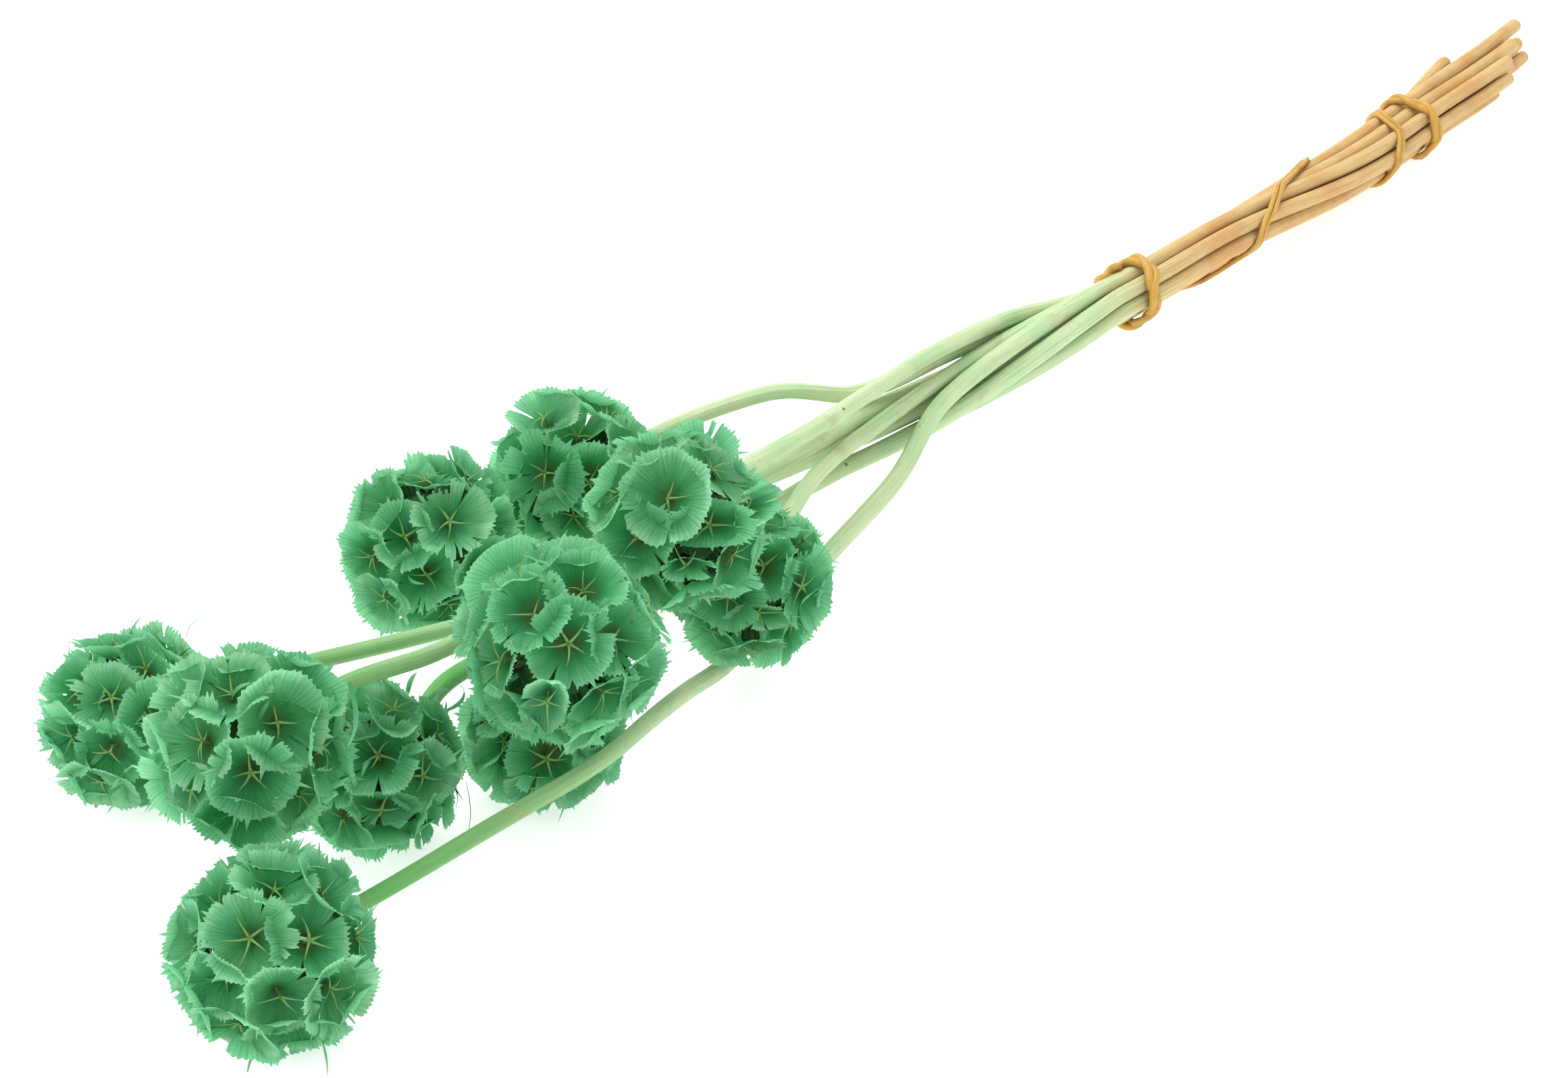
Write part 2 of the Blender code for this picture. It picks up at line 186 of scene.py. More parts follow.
def makeSpeckGroup():
    # small dark flecks, each about a fifth of the spacing
    group, wants, gives = newGroup(
        "darkFlecks", (("Spacing", "Float", 3.0), ("Reach", "Float", 0.12),
                       ("Share", "Float", 0.2)), (("Mask", "Float"),))
    where = addNode(group, "TexCoord").outputs["Object"]
    wobble = addNode(group, "TexNoise", {}, {"Vector": where, "Scale": 1500.0, "Detail": 2.0})
    shaken = addNode(group, "VectorMath", {"operation": "MULTIPLY_ADD"},
                     {0: wobble.outputs["Color"], 1: (0.0008, 0.0008, 0.0008), 2: where})
    scale = maths(group, "DIVIDE", 1000.0, wants["Spacing"])
    cells = addNode(group, "TexVoronoi", {}, {"Vector": shaken.outputs[0], "Scale": scale})
    near = maths(group, "LESS_THAN", cells.outputs["Distance"], wants["Reach"])
    pick = addNode(group, "SeparateColor", {}, {"Color": cells.outputs["Color"]}).outputs[0]
    some = maths(group, "LESS_THAN", pick, wants["Share"])
    group.links.new(maths(group, "MULTIPLY", near, some), gives["Mask"])
    return group


def makeFibreGroup():
    # fine streaks that run along each part; the "fibre" attribute says which way
    group, wants, gives = newGroup(
        "fibreStreaks", (("Across", "Float", 9.0), ("Along", "Float", 0.12)),
        (("Streak", "Float"), ("Fine", "Float")))
    fibre = addNode(group, "Attribute", {"attribute_name": "fibre"}).outputs["Vector"]
    parts = addNode(group, "SeparateXYZ", {}, {0: fibre}).outputs
    found = []
    for more in (1.0, 3.1):
        wide = maths(group, "MULTIPLY", wants["Across"], more)
        spot = addNode(group, "CombineXYZ", {}, {
            0: maths(group, "MULTIPLY", parts[0], wide),
            1: maths(group, "MULTIPLY", parts[1], wide),
            2: maths(group, "MULTIPLY", parts[2], wants["Along"])}).outputs[0]
        found.append(addNode(group, "TexNoise", {}, {
            "Vector": spot, "Scale": 1.0, "Detail": 3.0, "Roughness": 0.65}).outputs["Fac"])
    group.links.new(found[0], gives["Streak"])
    group.links.new(found[1], gives["Fine"])
    return group


blotchGroup = makeBlotchGroup()
speckGroup = makeSpeckGroup()
fibreGroup = makeFibreGroup()


def newSurface(name):
    material = bpy.data.materials.new(name)
    material.use_nodes = True
    tree = material.node_tree
    return material, tree, tree.nodes["Principled BSDF"], tree.nodes["Material Output"]


def readMarks(tree):
    marks = addNode(tree, "Attribute", {"attribute_name": "marks"}).outputs["Vector"]
    return addNode(tree, "SeparateXYZ", {}, {0: marks}).outputs


paperLook = {
    # deep: painted shade, the darker green laid into the throat of each funnel
    "deep": (0.034, 0.250, 0.080),
    "middle": (0.080, 0.435, 0.165),
    "rim": (0.185, 0.560, 0.290),
    "edge": (0.380, 0.730, 0.470),
    "heart": (0.115, 0.175, 0.045),
    "vein": (0.012, 0.150, 0.052),
    "olive": (0.230, 0.420, 0.110),
    "teal": (0.045, 0.290, 0.150),
    "fleck": (0.080, 0.045, 0.015),
    "throughShare": 0.50,
    "throughDeep": (0.036, 0.300, 0.090),
    "throughRim": (0.330, 0.860, 0.470),
}


def makePaper():
    # the papery funnel: olive heart, a throat coloured deep green as painted shade, pale
    # translucent rim, dark hairline ribs
    look = paperLook
    material, tree, skin, out = newSurface("dyedPaper")
    radial, rib, seed = readMarks(tree)
    streak = useGroup(tree, fibreGroup, {"Across": 8.0, "Along": 0.16})
    blotch = useGroup(tree, blotchGroup, {"Size": 9.0, "Low": 0.42, "High": 0.66})
    small = useGroup(tree, blotchGroup, {"Size": 1.6, "Low": 0.35, "High": 0.75})
    fleck = useGroup(tree, speckGroup, {"Spacing": 4.2, "Reach": 0.085, "Share": 0.14})
    shift = maths(tree, "MULTIPLY", maths(tree, "SUBTRACT", streak["Streak"], 0.5), 0.34)
    lift = maths(tree, "MULTIPLY", maths(tree, "SUBTRACT", seed, 0.5), 0.30)
    place = maths(tree, "ADD", maths(tree, "ADD", radial, shift), lift, clamp=True)
    # the ramp darkens the throat towards deep green near 0.22 as painted shade
    base = ramp(tree, place, ((0.0, look["heart"]), (1.0, look["edge"]), (0.12, look["heart"]),
                              (0.22, look["deep"]), (0.50, look["middle"]),
                              (0.82, look["rim"])))
    olive = maths(tree, "MULTIPLY", maths(tree, "GREATER_THAN", seed, 0.66), 0.35)
    base = blendColour(tree, maths(tree, "MULTIPLY", olive, small["Mask"]), base, look["olive"])
    base = blendColour(tree, maths(tree, "MULTIPLY", blotch["Mask"], 0.45), base, look["teal"])
    vein = maths(tree, "POWER", rib, 7.0)
    veinShow = addNode(tree, "MapRange", {}, {"Value": radial, "From Min": 0.10,
                                              "From Max": 0.34}).outputs[0]
    veinFade = addNode(tree, "MapRange", {}, {"Value": radial, "From Min": 1.06,
                                              "From Max": 0.60, "To Min": 0.30}).outputs[0]
    veinMask = maths(tree, "MULTIPLY", maths(tree, "MULTIPLY", vein, veinShow),
                     maths(tree, "MULTIPLY", veinFade, 0.80))
    base = blendColour(tree, veinMask, base, look["vein"])
    thread = maths(tree, "MULTIPLY", maths(tree, "SUBTRACT", streak["Streak"], 0.53), 4.5, True)
    base = blendColour(tree, maths(tree, "MULTIPLY", thread, 0.50), base, look["vein"])
    fine = maths(tree, "MULTIPLY", maths(tree, "SUBTRACT", streak["Fine"], 0.48), 2.2, True)
    base = blendColour(tree, fine, base, look["vein"])
    base = blendColour(tree, maths(tree, "MULTIPLY", fleck["Mask"], 0.85), base, look["fleck"])
    tree.links.new(base, skin.inputs["Base Color"])
    rough = addNode(tree, "MapRange", {}, {"Value": streak["Fine"], "To Min": 0.62,
                                           "To Max": 0.88})
    tree.links.new(rough.outputs[0], skin.inputs["Roughness"])
    skin.inputs["Specular IOR Level"].default_value = 0.25
    height = maths(tree, "ADD", maths(tree, "MULTIPLY", rib, -0.5), streak["Fine"])
    bump = addNode(tree, "Bump", {}, {"Height": height, "Strength": 0.5, "Distance": 0.0003})
    tree.links.new(bump.outputs[0], skin.inputs["Normal"])
    # light from behind: thin at the rim, darker on the ribs and in the throat
    thin = maths(tree, "MULTIPLY", maths(tree, "POWER", radial, 1.6),
                 maths(tree, "SUBTRACT", 1.0, maths(tree, "MULTIPLY", rib, 0.55)))
    through = addNode(tree, "BsdfTranslucent", {}, {
        "Color": blendColour(tree, thin, look["throughDeep"], look["throughRim"])})
    mixed = addNode(tree, "MixShader", {}, {0: look["throughShare"], 1: skin.outputs[0],
                                            2: through.outputs[0]})
    tree.links.new(mixed.outputs[0], out.inputs["Surface"])
    return material


starLook = {"base": (0.150, 0.330, 0.070), "tip": (0.260, 0.480, 0.150),
            "stain": (0.090, 0.110, 0.025)}


def makeStarSkin():
    # the awned star: thick yellow-green root, paler hair-thin tips
    material, tree, skin, out = newSurface("starAwn")
    share, rib, seed = readMarks(tree)
    streak = useGroup(tree, fibreGroup, {"Across": 3.0, "Along": 0.4})
    stain = useGroup(tree, blotchGroup, {"Size": 2.2, "Low": 0.50, "High": 0.70})
    base = ramp(tree, share, ((0.0, starLook["base"]), (1.0, starLook["tip"])))
    base = blendColour(tree, maths(tree, "MULTIPLY", stain["Mask"], 0.5), base,
                       starLook["stain"])
    base = blendColour(tree, maths(tree, "MULTIPLY", streak["Fine"], 0.3), base,
                       paperLook["vein"])
    tree.links.new(base, skin.inputs["Base Color"])
    skin.inputs["Roughness"].default_value = 0.55
    bump = addNode(tree, "Bump", {}, {"Height": streak["Streak"], "Strength": 0.5,
                                      "Distance": 0.0002})
    tree.links.new(bump.outputs[0], skin.inputs["Normal"])
    return material


# dark: painted shade, laid into the grooves of the fruits and the dips of the core
podLook = {"light": (0.060, 0.200, 0.070), "dark": (0.018, 0.060, 0.022),
           "brown": (0.075, 0.060, 0.022)}


def makePodSkin():
    # the pitted fruits and the core that show in the gaps between funnels; their grooves and
    # dips are painted dark as shade
    material, tree, skin, out = newSurface("pittedFruit")
    depth, rib, seed = readMarks(tree)
    stain = useGroup(tree, blotchGroup, {"Size": 3.0, "Low": 0.40, "High": 0.62})
    streak = useGroup(tree, fibreGroup, {"Across": 4.0, "Along": 0.8})
    # painted shade: the marked grooves and dips take the dark colour
    base = blendColour(tree, rib, podLook["light"], podLook["dark"])
    base = blendColour(tree, maths(tree, "MULTIPLY", stain["Mask"], 0.6), base,
                       podLook["brown"])
    tree.links.new(base, skin.inputs["Base Color"])
    rough = addNode(tree, "MapRange", {}, {"Value": streak["Fine"], "To Min": 0.6,
                                           "To Max": 0.9})
    tree.links.new(rough.outputs[0], skin.inputs["Roughness"])
    bump = addNode(tree, "Bump", {}, {"Height": streak["Streak"], "Strength": 0.6,
                                      "Distance": 0.0004})
    tree.links.new(bump.outputs[0], skin.inputs["Normal"])
    return material


# leaf: partly the stems' own green, partly painted shade, darker where the heads hang over the
# stems
stemLook = {"leaf": (0.110, 0.400, 0.095), "green": (0.560, 0.690, 0.400),
            "mint": (0.430, 0.660, 0.350), "straw": (0.670, 0.470, 0.200),
            "peach": (0.600, 0.310, 0.090), "groove": (0.170, 0.290, 0.095),
            "creaseAndShade": (0.340, 0.165, 0.050), "blush": (0.480, 0.320, 0.200),
            "fleck": (0.018, 0.110, 0.075), "pith": (0.700, 0.580, 0.360)}


def makeStemSkin():
    # leaf green under the heads, kept darker there as painted shade, pale green in the fan,
    # undyed straw beyond the tie
    material, tree, skin, out = newSurface("dyedStem")
    where, mask, seed = readMarks(tree)
    streak = useGroup(tree, fibreGroup, {"Across": 3.4, "Along": 0.035})
    blotch = useGroup(tree, blotchGroup, {"Size": 16.0, "Low": 0.42, "High": 0.64})
    blush = useGroup(tree, blotchGroup, {"Size": 11.0, "Low": 0.56, "High": 0.72})
    fleck = useGroup(tree, speckGroup, {"Spacing": 5.0, "Reach": 0.08, "Share": 0.26})
    along = maths(tree, "ADD", where, maths(tree, "MULTIPLY",
                  maths(tree, "SUBTRACT", streak["Streak"], 0.5), 0.12))
    # share of the leaf green, darkened near the heads as painted shade, turning to pale green
    # along the stem
    leafAndShadeFade = addNode(tree, "MapRange", {"interpolation_type": "SMOOTHSTEP"}, {
        "Value": maths(tree, "ADD", along, maths(tree, "MULTIPLY",
                       maths(tree, "SUBTRACT", seed, 0.5), 0.16)),
        "From Min": 0.10, "From Max": 0.32}).outputs[0]
    turn = addNode(tree, "MapRange", {"interpolation_type": "SMOOTHSTEP"},
                   {"Value": along, "From Min": 0.56, "From Max": 0.65}).outputs[0]
    green = blendColour(tree, maths(tree, "MULTIPLY", blotch["Mask"], 0.7), stemLook["green"],
                        stemLook["mint"])
    straw = blendColour(tree, maths(tree, "MULTIPLY", blotch["Mask"], 0.60),
                        stemLook["straw"], stemLook["peach"])
    base = blendColour(tree, leafAndShadeFade, stemLook["leaf"], green)
    base = blendColour(tree, turn, base, straw)
    base = blendColour(tree, maths(tree, "MULTIPLY", blush["Mask"], 0.40), base,
                       stemLook["blush"])
    line = blendColour(tree, turn, stemLook["groove"], stemLook["creaseAndShade"])
    groove = maths(tree, "MULTIPLY", maths(tree, "SUBTRACT", streak["Streak"], 0.45), 2.2, True)
    base = blendColour(tree, maths(tree, "MULTIPLY", groove, 0.42), base, line)
    fine = maths(tree, "MULTIPLY", maths(tree, "SUBTRACT", streak["Fine"], 0.48), 1.8, True)
    base = blendColour(tree, fine, base, line)
    flecks = maths(tree, "MULTIPLY", fleck["Mask"], maths(tree, "SUBTRACT", 0.85,
                   maths(tree, "MULTIPLY", turn, 0.6)))
    base = blendColour(tree, flecks, base, stemLook["fleck"])
    base = blendColour(tree, mask, base, stemLook["pith"])
    tree.links.new(base, skin.inputs["Base Color"])
    rough = addNode(tree, "MapRange", {}, {"Value": streak["Fine"], "To Min": 0.5,
                                           "To Max": 0.78})
    tree.links.new(rough.outputs[0], skin.inputs["Roughness"])
    skin.inputs["Specular IOR Level"].default_value = 0.35
    height = maths(tree, "ADD", maths(tree, "MULTIPLY", streak["Streak"], 1.4), streak["Fine"])
    bump = addNode(tree, "Bump", {}, {"Height": height, "Strength": 0.6, "Distance": 0.0004})
    tree.links.new(bump.outputs[0], skin.inputs["Normal"])
    return material


bandLook = {"ochre": (0.520, 0.290, 0.036), "dull": (0.310, 0.150, 0.028),
            "bloom": (0.620, 0.420, 0.160)}


def makeBandSkin():
    # old rubber: ochre with a dusty bloom and dull patches; the face turned in towards the stems
    # is painted darker as shade
    material, tree, skin, out = newSurface("ochreRubber")
    side, creaseAndShade, seed = readMarks(tree)
    bloom = useGroup(tree, blotchGroup, {"Size": 3.5, "Low": 0.45, "High": 0.72})
    dull = useGroup(tree, blotchGroup, {"Size": 6.0, "Low": 0.50, "High": 0.68})
    streak = useGroup(tree, fibreGroup, {"Across": 2.5, "Along": 0.35})
    base = blendColour(tree, maths(tree, "MULTIPLY", bloom["Mask"], 0.35), bandLook["ochre"],
                       bandLook["bloom"])
    base = blendColour(tree, maths(tree, "MULTIPLY", dull["Mask"], 0.5), base,
                       bandLook["dull"])
    # painted shade on the band's inward face, where it lies against the stems
    base = blendColour(tree, maths(tree, "MULTIPLY", creaseAndShade, 0.6), base, bandLook["dull"])
    tree.links.new(base, skin.inputs["Base Color"])
    rough = addNode(tree, "MapRange", {}, {"Value": streak["Fine"], "To Min": 0.38,
                                           "To Max": 0.62})
    tree.links.new(rough.outputs[0], skin.inputs["Roughness"])
    bump = addNode(tree, "Bump", {}, {"Height": streak["Fine"], "Strength": 0.35,
                                      "Distance": 0.0002})
    tree.links.new(bump.outputs[0], skin.inputs["Normal"])
    return material


def makeFloor():
    material, tree, skin, out = newSurface("paleFloor")
    soft = useGroup(tree, blotchGroup, {"Size": 140.0, "Low": 0.2, "High": 0.8})
    tree.links.new(blendColour(tree, soft["Mask"], (0.90, 0.90, 0.90), (0.93, 0.93, 0.93)),
                   skin.inputs["Base Color"])
    skin.inputs["Roughness"].default_value = 0.9
    skin.inputs["Emission Color"].default_value = (1, 1, 1, 1)
    skin.inputs["Emission Strength"].default_value = studio["floorGlow"]
    mesh = bpy.data.meshes.new("floor")
    bm = bmesh.new()
    bmesh.ops.create_grid(bm, x_segments=8, y_segments=8, size=4.0)
    bm.to_mesh(mesh)
    bm.free()
    mesh.materials.append(material)
    floor = bpy.data.objects.new("floor", mesh)
    floor.location.z = -0.0002
    bpy.context.scene.collection.objects.link(floor)


makeFloor()
paperSkin, starSkin, podSkin = makePaper(), makeStarSkin(), makePodSkin()
stemSkin, bandSkin = makeStemSkin(), makeBandSkin()
print("finishes made")

# the same layout as in the part: stems, band and heads
stemValues = {
    "topRadius": 1.85, "fullRadius": 2.15, "tieRadius": 1.95, "cutRadius": 1.9, "gap": 0.3,
    "tieX": 74.0, "baseX": 204.0, "tieCentre": (-31.0, 16.0), "splay": (4.0, 3.0),
    "sides": 18, "ringStep": 2.4, "ridges": 9, "ridgeDepth": 0.04, "fullness": 0.985,
    "hairs": 110, "hairLength": 0.8,
    "bracts": 9, "bractLength": (5.0, 8.5), "bractWidth": 1.5,
}
bandValues = {
    "sheet": 1.2, "gap": 0.4, "firstAngle": 57.0, "ease": 0.22, "sink": 0.4,
    "route": ((0.0, 70.5), (0.12, 73.0), (0.3, 74.0), (0.44, 73.5), (0.54, 71.5),
              (0.72, 71.3), (0.87, 74.5), (1.04, 76.0), (1.16, 78.5), (1.3, 79.5),
              (1.54, 109.0), (1.7, 124.0), (1.86, 138.0), (2.04, 167.0), (2.3, 178.0),
              (2.44, 186.0), (2.54, 188.0), (2.7, 189.5), (2.83, 196.0), (3.04, 203.0),
              (3.16, 206.0), (3.54, 208.0), (3.72, 210.5), (3.9, 211.5), (4.04, 212.0),
              (4.12, 213.0)),
    "stepsPerTurn": 180, "strandRadius": 0.64, "neckRadius": 0.98, "baseRadius": 0.90,
    "apart": 1.02, "over": 0.42, "twistLength": 15.0, "sides": 10,
}
headValues = {
    "floretsAt20": 27, "rimWidest": 9.6, "floorShare": 0.64, "levels": (0.87, 1.01),
    "overlap": (0.05, 0.24), "lean": 0.16, "spill": 1.5,
    "ribs": (45, 56),
    "rings": (0.0, 0.06, 0.14, 0.24, 0.35, 0.46, 0.56, 0.66, 0.76, 0.85, 0.92, 0.97, 1.0),
    "pleat": 0.075, "ruffle": 0.50, "tooth": 0.58, "longTooth": 1.5, "hairTooth": 3.6,
    "slits": (2, 8), "foldShare": 0.20, "pinchShare": 0.16, "missingShare": 0.22,
    "smallShare": 0.05, "looseBracts": 7,
    "awnLength": (3.8, 6.4), "stalk": (1.4, 2.8),
}
lieShift = np.array((-7.7, -0.8, 0.0))
# label, middle, radius, place in the tie, cut end, way of the stem
headTable = (
    ("01", (-207.2, 45.1, 19.3), 20.0, (0, -1), 278.0,
     ((-180, 30.5, 21.5), (-151, 15, 20.5), (-110, 3, 15), (-50, -1, 14))),
    ("02", (-222.9, -3.2, 42.2), 21.3, (-0.5, 0), 264.0,
     ((-201, -7.5, 45), (-175, -12, 41), (-140, -8, 34.5), (-100, -5, 28), (-50, -11, 21))),
    ("03", (-248.7, -30.9, 20.9), 21.4, (-1, 1), 259.0,
     ((-222, -31.6, 16), (-186.6, -36.8, 16.2), (-168.6, -43.5, 20.5), (-147.7, -43.4, 20.3),
      (-129.2, -39.5, 15.4), (-103, -31.7, 5.4), (-79.6, -28.3, 3.6), (-53.6, -26.2, 6.2),
      (-26, -25.5, 11.5))),
    ("04", (-189.9, -7.5, 18.4), 18.6, (-1, -1), 252.0,
     ((-160, 1, 18.4), (-140, 2, 15.4), (-100, -2, 11.5), (-50, -6.5, 8.5))),
    ("05", (-172.7, -42.6, 53.0), 21.9, (0.5, 0), 276.0,
     ((-148, -29.5, 42), (-130, -20, 36), (-110, -13, 32), (-80, -12, 29), (-50, -16, 27))),
    ("06", (-121.1, 36.3, 20.6), 21.5, (1, -1), 284.0,
     ((-108, 15, 19), (-85, 0, 18), (-50, -4, 19))),
    ("07", (-79.3, 27.2, 19.6), 20.4, (1.5, 0), 249.0,
     ((-58.2, 12.4, 30), (-48.7, 3.8, 33), (-40.8, -2.9, 34.5), (-33.6, -7.4, 32),
      (-24, -10.3, 27.5), (-7.7, -12.8, 24), (10.6, -15.5, 22))),
    ("08", (-124.7, -37.0, 56.0), 20.4, (1, 1), 281.0,
     ((-98, -26.5, 47.5), (-75, -20.5, 39.5), (-50, -17, 33), (-24.4, -16.7, 30.5),
      (0, -15.3, 26.5))),
    ("09", (-97.6, -34.3, 25.0), 19.2, (0, 1), 270.0,
     ((-72, -27, 25), (-50, -20, 24))),
    ("10", (-158.8, -25.9, 17.3), 17.6, (-1.5, 0), 256.0,
     ((-130, -16, 14), (-98, -11, 12), (-50, -11, 13))),
)


# single curled bracts: head, root, way, width's way, (length, width, curl)
headExtras = (
    ("01", (-194.5, 40.4, 32.9), (0.42, 0.35, 0.84), (-0.52, -0.67, 0.53), (11.0, 1.0, 2.9)),
    ("01", (-200.2, 51.3, 33.6), (0.59, 0.07, 0.8), (-0.2, -0.88, 0.44), (6.0, 1.2, 1.0)),
    ("02", (-207.1, -16.7, 53.8), (-0.28, -0.64, -0.72), (-0.18, -0.76, 0.63), (14.0, 2.4, 1.1)),
    ("04", (-180.9, -22.7, 16.3), (-0.29, -0.5, -0.81), (-0.49, -0.7, 0.52), (13.5, 0.8, 0.75)),
    ("04", (-178.4, -11.0, 29.7), (0.68, -0.17, 0.71), (-0.15, -0.99, 0.08), (8.0, 1.6, 2.4)),
    ("04", (-176.8, -14.8, 28.5), (0.71, -0.62, 0.34), (-0.59, -0.8, -0.13), (8.5, 1.4, -2.2)),
    ("04", (-180.1, -7.3, 31.0), (0.5, 0.23, 0.83), (0.25, -0.94, 0.22), (6.5, 1.3, 1.6)),
    ("03", (-259.7, -33.8, 4.5), (-0.63, 0.01, -0.78), (0.18, -0.98, -0.09), (6.0, 0.5, -0.8)),
    ("03", (-251.3, -43.7, 6.2), (-0.26, -0.54, -0.8), (0.45, -0.79, 0.42), (7.5, 0.5, 0.9)),
)


def easeStep(low, high, value):
    t = min(max((value - low) / (high - low), 0.0), 1.0)
    return t * t * (3 - 2 * t)


def unit(v):
    return v / np.linalg.norm(v, axis=-1, keepdims=True)


def stemRadius(x, start):
    v = stemValues
    if x < v["tieX"]:
        share = (x - start) / (v["tieX"] - start)
        pinch = easeStep(v["tieX"] - 45, v["tieX"], x) * (v["fullRadius"] - v["tieRadius"])
        return v["topRadius"] + (v["fullRadius"] - v["topRadius"]) * share - pinch
    share = (x - v["tieX"]) / (v["baseX"] + 70 - v["tieX"])
    return v["tieRadius"] + (v["cutRadius"] - v["tieRadius"]) * min(share, 1.0)


def bundlePlace(x, slot):
    # three rows packed like a honeycomb, turning one way up to the tie and back beyond it
    v, raised = stemValues, bandValues["gap"] + bandValues["sheet"]
    tie, foot = v["tieX"], v["baseX"]
    pitch = 2 * stemRadius(x, -100) + v["gap"]
    across, up = slot[0] * pitch, slot[1] * pitch * math.sqrt(0.75)
    turn = math.radians(55 - 103 * easeStep(-40, 80, x) + 48 * easeStep(105, foot - 6, x))
    rest = pitch * math.sqrt(0.75) + stemRadius(x, -100)
    height = v["tieCentre"][1] + (rest + raised - v["tieCentre"][1]) * easeStep(
        tie - 10, foot, x)
    height -= raised * easeStep(foot + 6, foot + 60, x)
    before = 5 * math.log(1 + math.exp((tie - 4 - x) / 5))
    side = v["tieCentre"][0] + 22 * (1 - math.exp(-before / 50)) - 5.5 * easeStep(
        tie - 20, foot, x) - 1.5 * easeStep(foot, foot + 70, x)
    side += 1.5 * easeStep(15, 65, x) - 1.0 * easeStep(180, 250, x)
    loose = max(slot[0] - 0.9, 0) / 0.6 * easeStep(foot + 8, foot + 46, x)
    return (x, side + loose * v["splay"][0] + across * math.cos(turn) - up * math.sin(turn),
            height + loose * v["splay"][1] + across * math.sin(turn) + up * math.cos(turn))


def through(points, step=1.0):
    # a smooth curve through the given points
    pts = np.array(points, float)
    pts = np.vstack([2 * pts[0] - pts[1], pts, 2 * pts[-1] - pts[-2]])
    found = []
    for a, b, c, d in zip(pts, pts[1:], pts[2:], pts[3:]):
        span = np.linalg.norm(c - b)
        before, after = np.linalg.norm(b - a), np.linalg.norm(d - c)
        leave = ((b - a) / before + (c - b) / span) / 2 * span
        arrive = ((c - b) / span + (d - c) / after) / 2 * span
        for t in np.arange(0, 1, step / span):
            found.append((2 * t**3 - 3 * t**2 + 1) * b + (t**3 - 2 * t**2 + t) * leave
                         + (3 * t**2 - 2 * t**3) * c + (t**3 - t**2) * arrive)
    found.append(pts[-2])
    return np.array(found)


def stemRoutes():
    # every stem's centre line, eased apart where it would cross another stem or a head
    v = stemValues
    grid = np.arange(-250.0, v["tieX"] - 8, 2.0)
    tips, lines, starts = [], [], []
    for name, centre, radius, slot, cut, way in headTable:
        centre = np.array(centre, float)
        pole = unit(np.array(way[0], float) - centre)
        tip = centre + pole * (radius * 0.5 * 0.95 + 0.3)
        leave = centre + pole * (radius + 2.0)
        points = [tip, leave, *way[1:], bundlePlace(v["tieX"] - 10, slot),
                  bundlePlace(v["tieX"] + 10, slot)]
        if way[-1][0] < -20:
            points.insert(-2, bundlePlace(0.0, slot))
        if np.linalg.norm(np.array(way[0]) - leave) > 6:
            points.insert(2, way[0])
        curve = through(points)
        tips.append((tip, leave))
        starts.append(int(np.searchsorted(grid, leave[0])))
        lines.append(np.stack([grid, np.interp(grid, curve[:, 0], curve[:, 1]),
                               np.interp(grid, curve[:, 0], curve[:, 2])], axis=1))
    lines = np.array(lines)
    live = np.array([np.arange(len(grid)) >= first for first in starts])
    radii = np.array([[stemRadius(x, h[1][0]) for x in grid] for h in headTable])
    nudge = np.zeros_like(lines[:, :, 1:])
    hold = np.ones_like(live, float)
    for k, first in enumerate(starts):
        hold[k, :first + 1] = 0
        hold[k, first + 1:first + 5] = (0.2, 0.4, 0.6, 0.8)
        hold[k, -4:] = (0.7, 0.4, 0.2, 0.0)
    for _ in range(400):
        now = lines.copy()
        now[:, :, 1:] += nudge
        lean = np.sqrt(1 + (np.gradient(now[:, :, 1:], 2.0, axis=1) ** 2).sum(axis=2))
        push = np.zeros_like(nudge)
        for i in range(len(headTable)):
            for j in range(i):
                apart = now[i, :, 1:] - now[j, :, 1:]
                dist = np.linalg.norm(apart, axis=1) + 1e-6
                need = (radii[i] + radii[j] + 0.55) * np.minimum(lean[i], lean[j])
                short = np.where(live[i] & live[j], np.maximum(need - dist, 0), 0)
                step = apart / dist[:, None] * (short / 2)[:, None]
                push[i] += step
                push[j] -= step
            for head in headTable:
                away = now[i] - np.array(head[1])
                dist = np.linalg.norm(away, axis=1) + 1e-6
                short = np.where(live[i], np.maximum(head[2] + radii[i] + 0.5 - dist, 0), 0)
                push[i] += (away / dist[:, None] * short[:, None])[:, 1:]
        low = np.maximum(radii + 0.15 - now[:, :, 2], 0)
        push[:, :, 1] += np.where(live, low, 0)
        nudge += push * 0.5 * hold[:, :, None]
        smooth = (nudge[:, :-2] + nudge[:, 2:]) / 2
        nudge[:, 1:-1] += (smooth - nudge[:, 1:-1]) * 0.35 * hold[:, 1:-1, None]
    lines[:, :, 1:] += nudge
    routes = []
    for k, (name, centre, radius, slot, cut, way) in enumerate(headTable):
        tip, leave = tips[k]
        gathered = [bundlePlace(x, slot) for x in np.arange(v["tieX"] - 8, cut, 6.0)]
        gathered.append(bundlePlace(cut, slot))
        routes.append(np.vstack([[tip], [leave], lines[k][starts[k] + 1:], gathered]))
    return routes


